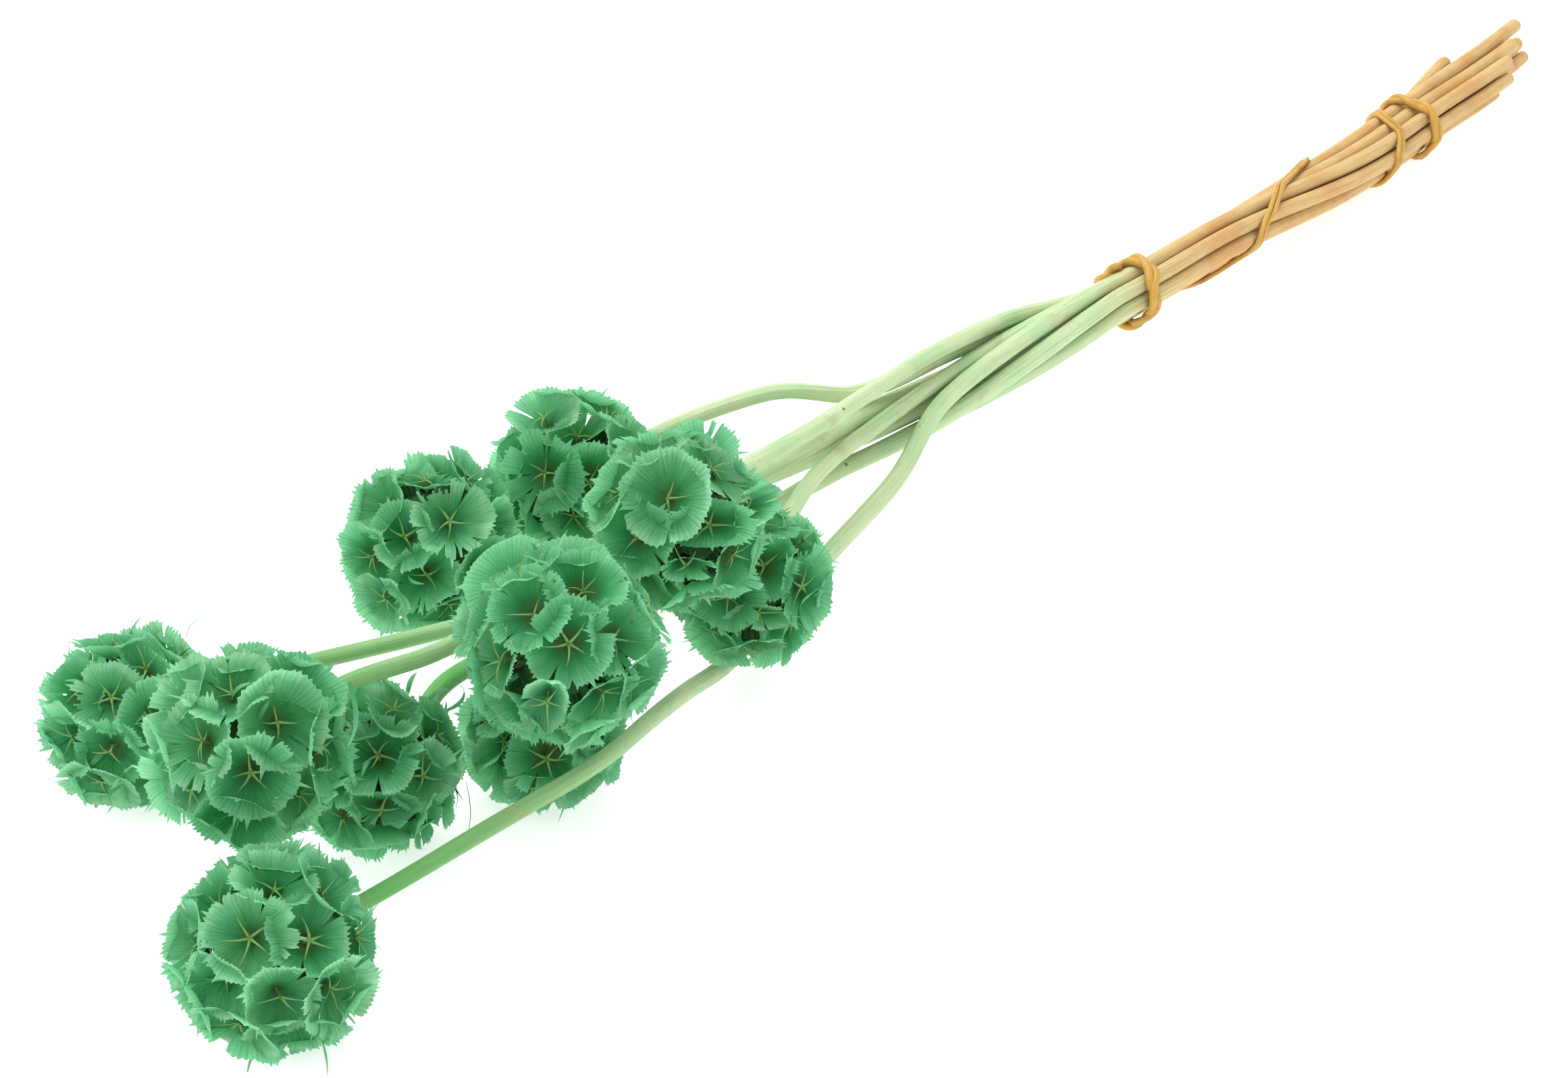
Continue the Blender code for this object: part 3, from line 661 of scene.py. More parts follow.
class Sheets:
    # gathers points, faces and shading marks for one piece
    def __init__(self):
        self.points, self.marks, self.fibres, self.faces = [], [], [], []
        self.count = 0

    def add(self, points, marks, fibre, faceSets, skin):
        self.points.append(points)
        self.marks.append(marks)
        self.fibres.append(fibre)
        for faces in faceSets:
            self.faces.append((np.asarray(faces) + self.count, skin))
        self.count += len(points)

    def make(self, name, skins, nodes):
        points = np.vstack(self.points) + lieShift
        points[:, 2] = np.maximum(points[:, 2], 0.02)
        mesh = bpy.data.meshes.new(name)
        mesh.vertices.add(len(points))
        mesh.vertices.foreach_set("co", (points * metre).astype(np.float32).ravel())
        loops = np.concatenate([f.ravel() for f, _ in self.faces])
        sizes = np.concatenate([np.full(len(f), f.shape[1]) for f, _ in self.faces])
        slots = np.concatenate([np.full(len(f), s) for f, s in self.faces])
        mesh.loops.add(len(loops))
        mesh.loops.foreach_set("vertex_index", loops.astype(np.int32))
        mesh.polygons.add(len(sizes))
        mesh.polygons.foreach_set("loop_start",
                                  np.concatenate([[0], np.cumsum(sizes)[:-1]]).astype(np.int32))
        mesh.polygons.foreach_set("material_index", slots.astype(np.int32))
        for label, rows in (("marks", self.marks), ("fibre", self.fibres)):
            layer = mesh.attributes.new(label, "FLOAT_VECTOR", "POINT")
            layer.data.foreach_set("vector", np.vstack(rows).astype(np.float32).ravel())
        mesh.update(calc_edges=True)
        mesh.shade_smooth()
        for skin in skins:
            mesh.materials.append(skin)
        obj = bpy.data.objects.new(name, mesh)
        bpy.context.scene.collection.objects.link(obj)
        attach(obj, "root")
        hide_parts(*nodes)
        return obj


def gridFaces(rows, columns, closed=True):
    # quads between rows of points, each row a ring or an open strip
    r = np.arange(rows - 1)[:, None] * columns
    c = np.arange(columns if closed else columns - 1)[None, :]
    d = (c + 1) % columns
    return np.stack([r + c, r + d, r + columns + d, r + columns + c], axis=-1).reshape(-1, 4)


def tube(line, radius, sides, first=None, shape=None):
    # rings of points along a line; radius is one number for each point
    along = unit(np.gradient(line, axis=0))
    reference = np.array((0.0, 0.0, 1.0)) if first is None else first
    side = unit(reference - along * (along @ reference)[:, None])
    up = np.cross(along, side)
    angle = 2 * np.pi * np.arange(sides) / sides
    reach = np.asarray(radius)[:, None] * (np.ones(sides) if shape is None else shape)
    ring = (side[:, None, :] * np.cos(angle)[None, :, None]
            + up[:, None, :] * np.sin(angle)[None, :, None]) * reach[:, :, None]
    fibre = np.stack([np.tile(np.cos(angle), (len(line), 1)),
                      np.tile(np.sin(angle), (len(line), 1)),
                      np.repeat(np.concatenate([[0], np.cumsum(np.linalg.norm(
                          np.diff(line, axis=0), axis=1))])[:, None], sides, axis=1)], axis=-1)
    return line[:, None, :] + ring, fibre


def capFaces(first, sides, tip, flip=False):
    k = np.arange(sides)
    faces = np.stack([first + k, first + (k + 1) % sides, np.full(sides, tip)], axis=-1)
    return faces[:, ::-1] if flip else faces


def headDirections(count, pole, rnd):
    # even directions over a ball, the first of them at the stem
    golden = math.pi * (3 - math.sqrt(5))
    dirs = [(0.0, 0.0, 1.0)]
    for k in range(1, count):
        z = 1 - (2 * k + 0.6) / count
        ring = math.sqrt(max(1 - z * z, 0))
        dirs.append((ring * math.cos(golden * k) + rnd.uniform(-0.12, 0.12),
                     ring * math.sin(golden * k) + rnd.uniform(-0.12, 0.12),
                     z + rnd.uniform(-0.12, 0.12)))
    dirs = unit(np.array(dirs))
    for _ in range(140):
        away = dirs[:, None, :] - dirs[None, :, :]
        gap = np.maximum(np.linalg.norm(away, axis=2), 0.05)
        force = (away / gap[:, :, None] ** 4).sum(axis=1)
        force -= dirs * (force * dirs).sum(axis=1, keepdims=True)
        size = np.maximum(np.linalg.norm(force, axis=1, keepdims=True), 1e-6)
        moved = unit(dirs + force * np.minimum(0.004, 0.08 / size))
        moved[0] = dirs[0]
        dirs = moved
    turn = np.array(Vector((0, 0, 1)).rotation_difference(Vector(pole)).to_matrix())
    return dirs @ turn.T


def settle(points, own):
    # keeps paper off the table and out of the neighbouring heads
    for name, other, radius, slot, cut, way in headTable:
        if name == own:
            continue
        away = points - np.array(other)
        dist = np.linalg.norm(away, axis=1)
        near = dist < radius
        points[near] = np.array(other) + away[near] / dist[near][:, None] * (
            radius - 0.35 + 0.35 * (dist[near] / radius)[:, None] ** 8)
    low = points[:, 2] < 1.0
    points[low, 2] = 0.12 + 0.88 * np.exp((points[low, 2] - 1.0) / 0.88)
    return points


def rimReach(floret, radius, angle, rng):
    # how far the rim goes each way: round, but held back where a neighbour stands
    v = headValues
    out = floret["out"]
    along = floret["sideAt"] * np.cos(angle)[:, None] + floret["upAt"] * np.sin(angle)[:, None]
    others = np.delete(floret["dirs"], floret["number"], axis=0)
    toward = along @ others.T
    edge = np.where(toward > 1e-3, np.arctan2(1 - others @ out, np.maximum(toward, 1e-3)), 9)
    over = v["overlap"][0] + (v["overlap"][1] - v["overlap"][0]) * floret["rank"]
    reach = np.minimum(edge.min(axis=1) + over, v["rimWidest"] / radius) * floret["size"]
    for _ in range(9):
        reach = (np.roll(reach, 1) + reach * 2 + np.roll(reach, -1)) / 4
    low = sum(rng.uniform(-0.035, 0.035) * np.cos(k * angle + rng.uniform(0, 6.3))
              for k in (2, 3, 5, 8))
    return reach * (1 + low)


def slitAngles(angle, t, rings, rng):
    # tears between the ribs: the angles open on both sides of each, and its faces go
    v, columns = headValues, len(angle)
    phi = np.tile(angle, (len(rings), 1))
    gone = np.zeros((len(rings), columns), bool)
    for _ in range(int(rng.integers(*v["slits"]))):
        at, start, wide = rng.integers(columns), rng.uniform(0.30, 0.85), rng.uniform(0.02, 0.10)
        gap = (np.arange(columns) - at - 0.5 + columns / 2) % columns - columns / 2
        opened = np.clip((t - start) / (1 - start), 0, 1)
        close = -np.sign(gap) * (np.abs(gap) < 1) * (np.pi / columns) * 0.8
        phi = phi + (np.sign(gap) * np.exp(-np.abs(gap) / 8.0) * wide)[None, :] * opened \
            + close[None, :] * (1 - opened) * (t > 0.2)
        gone[:, at] |= rings >= start - 0.05
    if rng.random() < v["missingShare"]:
        # a piece of the rim has broken away
        first, count = rng.integers(columns), int(rng.integers(6, 22))
        start = rng.uniform(0.5, 0.8)
        for k in range(count):
            gone[:, (first + k) % columns] |= rings >= start + rng.uniform(-0.12, 0.12)
    return phi, gone


def funnelPaper(gather, head, floret, rng):
    # one papery funnel: pleated along its ribs, toothed, slit, sometimes folded over
    v = headValues
    label, centre, radius = head[0], np.array(head[1]), head[2]
    out, axis, side, up = (floret[k] for k in ("out", "axis", "side", "up"))
    columns = int(rng.integers(*v["ribs"])) * 2
    rings = np.array(v["rings"])
    t = rings[:, None]
    angle = floret["first"] + 2 * np.pi * (np.arange(columns) + rng.uniform(
        -0.22, 0.22, columns)) / columns
    reach = rimReach(floret, radius, angle, rng)
    phi, gone = slitAngles(angle, t, rings, rng)
    distance = radius * floret["level"]
    bottom = radius * v["floorShare"] * floret["deep"]
    rimOut = distance * np.sin(reach)
    rimUp = distance * np.cos(reach) - bottom
    steep, inner = rng.uniform(0.95, 1.5), 0.34
    u = inner + (rimOut - inner)[None, :] * t ** rng.uniform(0.85, 1.15)
    h = rimUp[None, :] * (1 - (1 - t) ** steep)
    column = np.arange(columns) % 2
    pleat = np.where(column == 0, -1.0, 1.0) * rng.uniform(0.6, 1.4, columns)
    h = h + pleat[None, :] * v["pleat"] * t ** 1.2
    wave = sum(rng.uniform(0.2, 1.0) / k ** 0.5 * np.sin(k * phi + rng.uniform(0, 6.3))
               for k in (2, 3, 4, 6, 9)) * v["ruffle"]
    h = h + wave * t ** 2.2 * rng.uniform(0.4, 1.2)
    h = h + t * 0.11 * sum(np.sin(u * rng.uniform(0.5, 1.6) + k * phi + rng.uniform(0, 6.3))
                           for k in (1, 5, 7))
    if rng.random() < v["foldShare"]:
        # part of the rim curls up and over the middle
        where, width = rng.uniform(0, 6.3), rng.uniform(0.35, 0.9)
        apart = (phi - where + np.pi) % (2 * np.pi) - np.pi
        share = np.exp(-(apart / width) ** 2) * rng.uniform(0.6, 2.2)
        k = int(np.searchsorted(rings, rng.uniform(0.50, 0.8)))
        bend = np.clip((t - rings[k]) / (1 - rings[k]), 0, 1) * share
        du, dh = np.diff(u, axis=0), np.diff(h, axis=0)
        middle = (bend[1:] + bend[:-1]) / 2
        turnedU = du * np.cos(middle) - dh * np.sin(middle)
        turnedH = du * np.sin(middle) + dh * np.cos(middle)
        u = np.maximum(np.vstack([u[:1], u[:1] + np.cumsum(turnedU, axis=0)]), 0.4)
        h = np.vstack([h[:1], h[:1] + np.cumsum(turnedH, axis=0)])
    # teeth stand on the rib ends, some drawn out, a few as long as hairs
    pick = rng.random(columns)
    tooth = v["tooth"] * rng.uniform(0.25, 1.5, columns) * (1 + 0.5 * np.sin(
        rng.integers(5, 9) * angle + rng.uniform(0, 6.3)) * np.sin(3 * angle))
    tooth = tooth + (pick < 0.12) * rng.uniform(0.1, 1.0, columns) * v["longTooth"]
    tooth = tooth + (pick > 0.985) * rng.uniform(0.3, 1.0, columns) * v["hairTooth"]
    tooth = np.where(column == 0, tooth, 0.0) + rng.uniform(-0.16, 0.10, columns)
    last = np.stack([u[-1] - u[-2], h[-1] - h[-2]])
    last = last / np.maximum(np.linalg.norm(last, axis=0), 1e-6)
    u[-1] += last[0] * tooth
    h[-1] += (last[1] + 0.20) * tooth
    ray = side * (np.cos(phi) * floret["pinch"])[:, :, None] + up * np.sin(phi)[:, :, None]
    points = centre + out * bottom + axis * h[:, :, None] + ray * u[:, :, None]
    far = points - centre
    dist = np.linalg.norm(far, axis=2, keepdims=True)
    limit = radius + v["spill"]
    points = centre + far * np.where(dist > limit, (limit + 1.1 * np.tanh(
        (dist - limit) / 1.1)) / dist, 1)
    points = settle(points.reshape(-1, 3), label)
    dark = np.where(column == 0, rng.uniform(0.45, 1.0, columns), 0.0)
    marks = np.stack([np.tile(t, (1, columns)), np.tile(dark, (len(rings), 1)),
                      np.full((len(rings), columns), floret["seed"])], axis=-1)
    fibre = np.stack([np.tile(np.cos(angle), (len(rings), 1)),
                      np.tile(np.sin(angle), (len(rings), 1)),
                      np.tile(t, (1, columns)) * 8 + floret["seed"] * 90], axis=-1)
    faces = gridFaces(len(rings), columns)
    keep = ~gone[faces[:, 0] // columns, faces[:, 0] % columns]
    gather.add(points, marks.reshape(-1, 3), fibre.reshape(-1, 3), [faces[keep]], 0)
    return bottom


def starAwns(gather, head, floret, bottom, rng):
    # five curved awns on a short stalk in the middle of the funnel
    v = headValues
    centre = np.array(head[1])
    out, side, up = floret["axis"], floret["side"], floret["up"]
    tall = rng.uniform(*v["stalk"])
    lean = (side * rng.uniform(-1, 1) + up * rng.uniform(-1, 1)) * 0.25
    root = centre + floret["out"] * (bottom - 0.4)
    top = root + out * (tall + 0.4) + lean * tall
    sides = 6
    line = np.linspace(0, 1, 4)[:, None] * (top - root) + root
    rings, fibre = tube(line, np.array((0.44, 0.30, 0.28, 0.42)), sides, side)
    points = np.vstack([rings.reshape(-1, 3), top + out * 0.18])
    count = len(points) - 1
    marks = np.tile((0.0, 0.0, floret["seed"]), (len(points), 1))
    fibres = np.vstack([fibre.reshape(-1, 3), fibre.reshape(-1, 3)[-1:]])
    gather.add(points, marks, fibres,
               [gridFaces(4, sides), capFaces(count - sides, sides, count)], 1)
    first = rng.uniform(0, 6.3)
    raised = rng.uniform(0.25, 0.9)
    for k in range(5):
        if rng.random() < 0.10:
            continue
        angle = first + 2 * np.pi * k / 5 + rng.uniform(-0.2, 0.2)
        away = side * np.cos(angle) + up * np.sin(angle)
        across = np.cross(out, away)
        length = rng.uniform(*v["awnLength"])
        rise = raised + rng.uniform(-0.25, 0.25)
        bendDown, bendSide = rng.uniform(0.1, 1.3), rng.uniform(-0.7, 0.7)
        s = np.linspace(0, 1, 7)
        slope = rise - bendDown * s
        turn = bendSide * s
        step = (away * np.cos(turn)[:, None] + across * np.sin(turn)[:, None]) * np.cos(
            slope)[:, None] + out * np.sin(slope)[:, None]
        line = top + np.vstack([np.zeros(3), np.cumsum(step[:-1] * length / 6, axis=0)])
        thick = np.array((0.34, 0.26, 0.19, 0.14, 0.10, 0.07, 0.03))
        flat = np.array((1.25, 0.6, 1.25, 0.6))
        rings, fibre = tube(line, thick, 4, across, flat)
        points = settle(rings.reshape(-1, 3), head[0])
        marks = np.stack([np.repeat(s, 4), np.zeros(28), np.full(28, floret["seed"])], axis=1)
        ends = np.array([[0, 3, 2, 1], [24, 25, 26, 27]])
        gather.add(points, marks, fibre.reshape(-1, 3), [gridFaces(7, 4), ends], 1)


def pittedFruit(gather, head, floret, bottom, rng):
    # the ridged, pitted tube under the funnel, down to the core
    centre, radius = np.array(head[1]), head[2]
    out, side = floret["out"], floret["side"]
    shares = np.array((0.0, 0.15, 0.4, 0.65, 0.85, 1.0))
    low = radius * 0.38
    line = centre + out * (low + (bottom + 0.25 - low) * shares)[:, None]
    sides = 16
    ridge = np.where(np.arange(sides) % 2 == 0, 1.0, 0.80)
    size = np.array((1.15, 1.35, 1.6, 1.8, 2.0, 1.75)) * rng.uniform(0.92, 1.08)
    rings, fibre = tube(line, size, sides, side, ridge)
    # the second mark picks the grooves between the ridges, to be painted dark as shade
    marks = np.stack([np.repeat(shares, sides), np.tile(ridge < 0.9, len(shares)),
                      np.full(len(shares) * sides, floret["seed"])], axis=1)
    gather.add(rings.reshape(-1, 3), marks, fibre.reshape(-1, 3),
               [gridFaces(len(shares), sides)], 2)


def lumpyCore(gather, head, rng):
    centre, radius = np.array(head[1]), head[2] * 0.47
    rows, columns = 12, 20
    theta = np.linspace(0.02, np.pi - 0.02, rows)[:, None]
    phi = (2 * np.pi * np.arange(columns) / columns)[None, :]
    ball = np.stack([np.sin(theta) * np.cos(phi), np.sin(theta) * np.sin(phi),
                     np.cos(theta) + 0 * phi], axis=-1)
    lumps = sum(np.sin(ball @ unit(rng.normal(size=3)) * rng.uniform(5, 11)
                       + rng.uniform(0, 6.3)) for _ in range(6)) * 0.035
    points = (centre + ball * (radius * (1 + lumps))[:, :, None]).reshape(-1, 3)
    # the second mark picks the dips of the lumps, to be painted dark as shade
    marks = np.stack([np.zeros(len(points)), (lumps.ravel() < 0), np.zeros(len(points))], 1)
    poles = np.vstack([points[:columns].mean(axis=0), points[-columns:].mean(axis=0)])
    points = np.vstack([points, poles])
    marks = np.vstack([marks, marks[:2]])
    fibre = (points - centre) / 6
    count = rows * columns
    gather.add(points, marks, fibre,
               [gridFaces(rows, columns), capFaces(0, columns, count, True),
                capFaces(count - columns, columns, count + 1)], 2)


def curledStrip(gather, root, ahead, beside, shape, skin, own, mark):
    # a narrow dry leaf that curls along its length; shape is length, width and curl
    length, width, curl = shape
    s = np.linspace(0, 1, 14)
    bend = curl * s ** 1.4
    normal = np.cross(ahead, beside)
    step = ahead * np.cos(bend)[:, None] + normal * np.sin(bend)[:, None]
    middle = root + np.vstack([np.zeros(3), np.cumsum(step[:-1] * length / 13, axis=0)])
    wide = (width * np.sin(np.pi * (0.14 + 0.83 * s)) ** 0.8 * 0.5)[:, None]
    fold = np.cross(step, beside) * 0.3
    rows = np.stack([middle + (beside + fold) * wide, middle, middle + (fold - beside) * wide],
                    axis=1)
    spots = settle(rows.reshape(-1, 3), own)
    marks = np.stack([np.full(42, mark) if skin == "stem" else np.repeat(0.45 + 0.5 * s, 3),
                      np.zeros(42), np.full(42, 0.8)], axis=1)
    fibre = np.stack([np.tile((-0.5, 0, 0.5), 14), np.full(42, 0.8),
                      np.repeat(s * length, 3)], axis=1)
    gather.add(spots, marks, fibre, [gridFaces(14, 3, False)], 0)


def makeHead(head, seed):
    label, centre, radius, slot, cut, way = head
    v = headValues
    rnd = random.Random(seed)
    rng = np.random.default_rng(seed)
    pole = unit(np.array(way[0], float) - np.array(centre))
    dirs = headDirections(round(v["floretsAt20"] * radius / 20), pole, rnd)
    gather = Sheets()
    lumpyCore(gather, head, rng)
    for number in range(1, len(dirs)):
        out = dirs[number]
        sideAt = np.array(Vector(out).orthogonal().normalized())
        upAt = np.cross(out, sideAt)
        axis = unit(out + sideAt * rng.normal(0, v["lean"]) + upAt * rng.normal(0, v["lean"]))
        spin = rng.uniform(0, 3.1)
        side = sideAt * math.cos(spin) + upAt * math.sin(spin)
        side = unit(side - axis * (side @ axis))
        rank, small = rng.random(), rng.random() < v["smallShare"]
        pinched = rng.random() < v["pinchShare"]
        floret = {"out": out, "axis": axis, "side": side, "up": np.cross(axis, side),
                  "sideAt": side, "upAt": np.cross(out, side), "dirs": dirs, "number": number,
                  "rank": rank, "first": rng.uniform(0, 6.3), "seed": rng.random(),
                  "size": rng.uniform(0.58, 0.75) if small else rng.uniform(0.92, 1.06),
                  "level": v["levels"][0] + (v["levels"][1] - v["levels"][0]) * rank,
                  "deep": rng.uniform(0.92, 1.08) + 0.06 * rank,
                  "pinch": rng.uniform(0.35, 0.7) if pinched else rng.uniform(0.88, 1.08)}
        bottom = funnelPaper(gather, head, floret, rng)
        starAwns(gather, head, floret, bottom, rng)
        pittedFruit(gather, head, floret, bottom, rng)
    # bracts that curl out between the funnels, then the ones the eye catches
    for _ in range(v["looseBracts"]):
        out = unit(rng.normal(size=3))
        beside = unit(np.cross(out, rng.normal(size=3)))
        curledStrip(gather, np.array(centre) + out * radius * 0.62, out, beside,
                    (radius * rng.uniform(0.34, 0.46), rng.uniform(0.9, 1.6),
                     rng.uniform(0.8, 2.6)), "paper", label, 0)
    for owner, root, ahead, beside, shape in headExtras:
        if owner == label:
            curledStrip(gather, np.array(root), unit(np.array(ahead, float)),
                        unit(np.array(beside, float)), shape, "paper", label, 0)
    return gather.make("seedHead_" + label, (paperSkin, starSkin, podSkin),
                       ["head_" + label])


for head in headTable:
    made = makeHead(head, 40 + int(head[0]))
print("seed heads made,", len(made.data.polygons), "faces in the last")


def stemLine(route, step):
    # an even, gently smoothed line along the route
    line = route.copy()
    for _ in range(2):
        line[2:-2] = (line[1:-3] + line[2:-2] * 2 + line[3:-1]) / 4
    gaps = np.concatenate([[0], np.cumsum(np.linalg.norm(np.diff(line, axis=0), axis=1))])
    count = int(gaps[-1] / step)
    even = np.linspace(0, gaps[-1], count + 1)
    return np.stack([np.interp(even, gaps, line[:, k]) for k in range(3)], axis=1), even


def makeStem(head, route, seed):
    v = stemValues
    label, start = head[0], head[1][0]
    rng = np.random.default_rng(seed)
    gather = Sheets()
    line, even = stemLine(route, v["ringStep"])
    sides = v["sides"]
    angle = 2 * np.pi * np.arange(sides) / sides
    size = np.array([stemRadius(x, start) for x in line[:, 0]]) * v["fullness"]
    swell = sum(np.sin(even / w + rng.uniform(0, 6.3)) for w in (9.0, 23.0, 41.0)) * 0.014
    size = size * (1 + swell)
    ridge = 1 + v["ridgeDepth"] * np.cos(v["ridges"] * angle[None, :]
                                         + even[:, None] * 0.006 + rng.uniform(0, 6.3))
    oval = 1 + 0.05 * np.cos(2 * angle[None, :] + even[:, None] / 60 + rng.uniform(0, 6.3))
    rings, fibre = tube(line, size, sides, None, ridge * oval)
    # the cut end: a slightly rounded edge and a sunken pith
    end, back = line[-1], unit(line[-1] - line[-2])
    last = rings[-1] - end
    extra = [end + last * 0.93 + back * 0.22, end + last * 0.80 + back * 0.30,
             end + last * 0.45 + back * 0.05]
    points = np.vstack([rings.reshape(-1, 3), *extra, (end - back * 0.25)[None]])
    share = (line[:, 0] + 250) / 530
    marks = np.zeros((len(points), 3))
    marks[:len(line) * sides, 0] = np.repeat(share, sides)
    marks[len(line) * sides:, 0] = share[-1]
    marks[(len(line) + 1) * sides:, 1] = (0.85)
    marks[:, 2] = rng.random()
    fibres = np.vstack([fibre.reshape(-1, 3), *[fibre[-1]] * 3, fibre[-1, :1]])
    fibres[:, 2] += rng.uniform(0, 500)
    rows = len(line) + 3
    tip = rows * sides
    gather.add(points, marks, fibres,
               [gridFaces(rows, sides), capFaces((rows - 1) * sides, sides, tip),
                capFaces(0, sides, 0, True)[1:-1]], 0)
    # narrow bracts under the head
    out = unit(line[3] - line[0])
    across = np.array(Vector(out).orthogonal().normalized())
    over = np.cross(out, across)
    root = line[0] + out * 4.6
    for k in range(v["bracts"]):
        a = 2 * np.pi * (k + rng.uniform(-0.3, 0.3)) / v["bracts"]
        away = across * np.cos(a) + over * np.sin(a)
        beside = np.cross(out, away)
        shape = (rng.uniform(*v["bractLength"]), v["bractWidth"], rng.uniform(0.2, 1.2))
        curledStrip(gather, root + away * 1.2, away, beside, shape, "stem", label, share[0])
    # short hairs along the upper half
    for _ in range(v["hairs"]):
        k = int(rng.integers(6, int(len(line) * 0.6)))
        m = int(rng.integers(sides))
        foot = rings[k, m]
        away = unit(foot - line[k])
        ahead = unit(line[k + 1] - line[k])
        beside = np.cross(away, ahead)
        tipAt = foot + away * rng.uniform(0.4, 1.0) * v["hairLength"] + ahead * rng.uniform(
            -0.3, 0.3) + beside * rng.uniform(-0.2, 0.2)
        spots = np.array([foot - beside * 0.04 - away * 0.05, foot + beside * 0.04
                          - away * 0.05, foot + ahead * 0.07 - away * 0.05, tipAt])
        hairMarks = np.tile((share[k], 0.0, 0.5), (4, 1))
        gather.add(spots, hairMarks, np.tile(fibre[k, m], (4, 1)),
                   [np.array([[0, 1, 3], [1, 2, 3], [2, 0, 3], [0, 2, 1]])], 0)
    return gather.make("flowerStem_" + label, (stemSkin,), ["stem_" + label])


for head, route in zip(headTable, stemRoutes()):
    made = makeStem(head, route, 140 + int(head[0]))
print("stems made,", len(made.data.polygons), "faces in the last")


def bandPath():
    # tight over the outside of the bundle, gaining length evenly as it goes round
    v = bandValues
    turns, places = np.array(v["route"]).T
    turn = np.linspace(0, turns[-1], round(turns[-1] * v["stepsPerTurn"]))
    angle = math.radians(v["firstAngle"]) - 2 * math.pi * turn
    outs = np.stack([0 * angle, np.cos(angle), np.sin(angle)], axis=1)
    x = np.interp(turn, turns, places)
    for _ in range(3):
        spots = []
        for at, out in zip(x, outs):
            stems = np.array([bundlePlace(at, h[3]) for h in headTable])
            corner = stems[int((stems @ out).argmax())]
            spots.append(corner + out * (stemRadius(at, -100) + v["ease"]))
        spots = np.array(spots)
        gone = np.concatenate([[0], np.cumsum(np.hypot(*np.diff(spots[:, 1:], axis=0).T))])
        x = np.interp(gone, np.interp(turns, turn, gone), places)
    # it sinks a little into the valley between two stems, more where it runs along them
    steep = np.gradient(spots[:, 0]) / np.linalg.norm(np.gradient(spots, axis=0), axis=1)
    for k in range(len(spots)):
        reach = stemRadius(x[k], -100) + v["strandRadius"]
        beside = np.cross((1.0, 0.0, 0.0), outs[k])
        stems = np.array([bundlePlace(x[k], h[3]) for h in headTable]) - spots[k]
        off = stems @ beside
        near = np.abs(off) < reach
        touch = (stems[near] @ outs[k] + np.sqrt(reach ** 2 - off[near] ** 2)).max()
        spots[k] += outs[k] * min(touch - v["strandRadius"], 0) * max(
            v["sink"], (steep[k] - 0.6) / 0.4)
    gaps = np.concatenate([[0], np.cumsum(np.linalg.norm(np.diff(spots, axis=0), axis=1))])
    even = np.arange(0, gaps[-1], 0.7)
    spots = np.stack([np.interp(even, gaps, spots[:, k]) for k in range(3)], axis=1)
    outs = unit(np.stack([np.interp(even, gaps, outs[:, k]) for k in range(3)], axis=1))
    for _ in range(4):
        spots[1:-1] = (spots[:-2] + spots[1:-1] * 2 + spots[2:]) / 4
        outs[1:-1] = unit(outs[:-2] + outs[1:-1] * 2 + outs[2:])
    return spots, outs, even


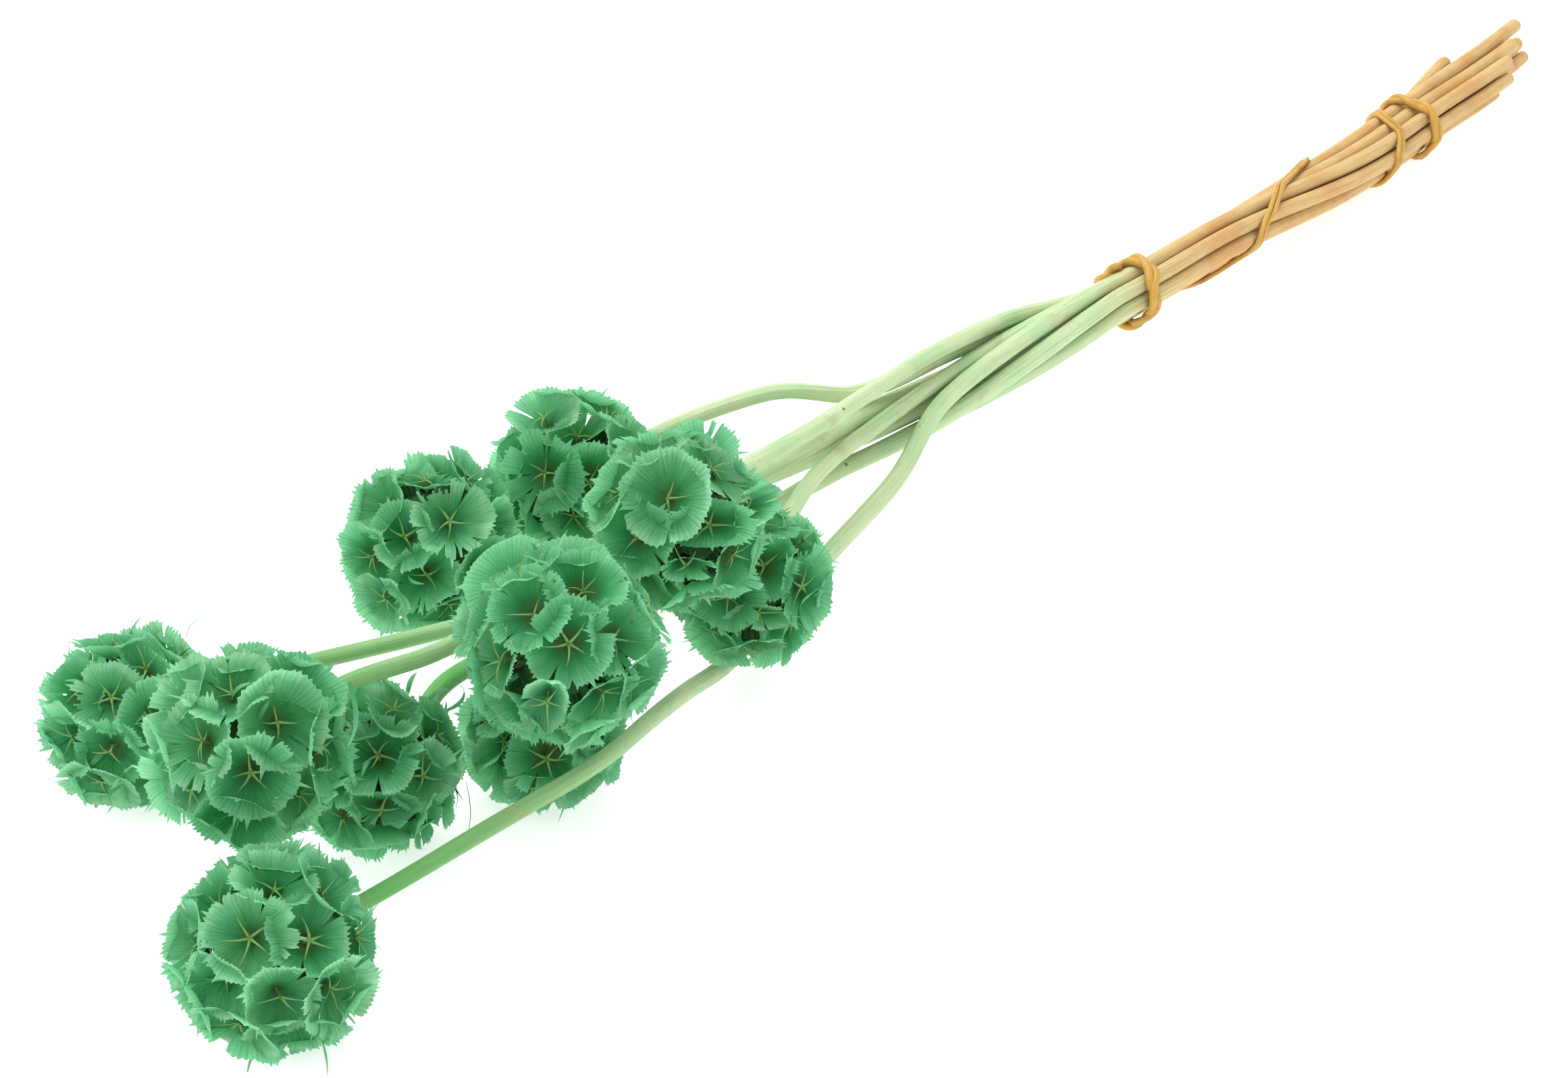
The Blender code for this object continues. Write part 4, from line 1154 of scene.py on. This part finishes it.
def makeBand():
    # one loop of rubber wound double; its two runs twist at the neck and at the cut ends
    v = bandValues
    spots, outs, even = bandPath()
    along = unit(np.gradient(spots, axis=0))
    across = unit(np.cross(outs, along))
    outs = np.cross(along, across)
    neck = np.array([1 - easeStep(78, 92, x) for x in spots[:, 0]])
    foot = np.array([easeStep(200, 208, x) for x in spots[:, 0]])
    turn = np.cumsum(np.maximum(neck, foot)) * 2 * np.pi * (even[1] - even[0]) / v["twistLength"]
    flat = turn[int(np.argmin(neck + foot))]
    turn = np.where(turn < flat, turn * round(flat / np.pi) * np.pi / flat,
                    turn - flat + round(flat / np.pi) * np.pi)
    close = np.minimum(1, np.minimum(even, even[-1] - even) / 1.6)
    close = np.sqrt(np.maximum(1 - (1 - close) ** 2, 0.02))
    size = v["strandRadius"] + (v["neckRadius"] - v["strandRadius"]) * neck + (
        v["baseRadius"] - v["strandRadius"]) * foot
    lines = []
    for sign in (1, -1):
        rise = size * (1 + np.maximum(neck, foot) * v["over"] * (1 + sign * np.sin(turn)))
        lines.append(spots + outs * rise[:, None] + across * (
            sign * size * v["apart"] * np.cos(turn) * close)[:, None])
    loop, size = np.vstack([lines[0], lines[1][::-1]]), np.concatenate([size, size[::-1]])
    outward = np.vstack([outs, outs[::-1]])
    rows, sides = len(loop), v["sides"]
    before, after = np.roll(loop, 1, axis=0), np.roll(loop, -1, axis=0)
    ahead = unit(after - before)
    side = unit(outward - ahead * (outward * ahead).sum(axis=1, keepdims=True))
    beside = np.cross(ahead, side)
    angle = 2 * np.pi * np.arange(sides) / sides
    squared = 1 / np.maximum(np.abs(np.cos(angle)), np.abs(np.sin(angle))) ** 0.45
    thick = size * (1 + 0.06 * np.sin(np.arange(rows) / 7.0))
    ring = (side[:, None, :] * np.cos(angle)[None, :, None] + beside[:, None, :]
            * np.sin(angle)[None, :, None]) * (thick[:, None] * squared[None, :])[:, :, None]
    points = (loop[:, None, :] + ring).reshape(-1, 3)
    points[:, 2] = np.maximum(points[:, 2], 0.02)
    # the second mark is painted shade: 1 on the face turned in towards the stems, 0 on the outer
    # face
    creaseAndShade = np.tile(np.clip(-np.cos(angle), 0, 1), rows)
    marks = np.stack([np.tile(np.sin(angle), rows), creaseAndShade, np.full(rows * sides, 0.3)], axis=1)
    fibre = np.stack([np.tile(np.cos(angle), rows), np.tile(np.sin(angle), rows),
                      np.repeat(np.arange(rows) * 0.8, sides)], axis=1)
    faces = gridFaces(rows, sides)
    join = np.stack([(rows - 1) * sides + np.arange(sides),
                     (rows - 1) * sides + (np.arange(sides) + 1) % sides,
                     (np.arange(sides) + 1) % sides, np.arange(sides)], axis=1)
    gather = Sheets()
    gather.add(points, marks, fibre, [faces, join], 0)
    return gather.make("bunchBand", (bandSkin,), ["rubber_band"])


made = makeBand()
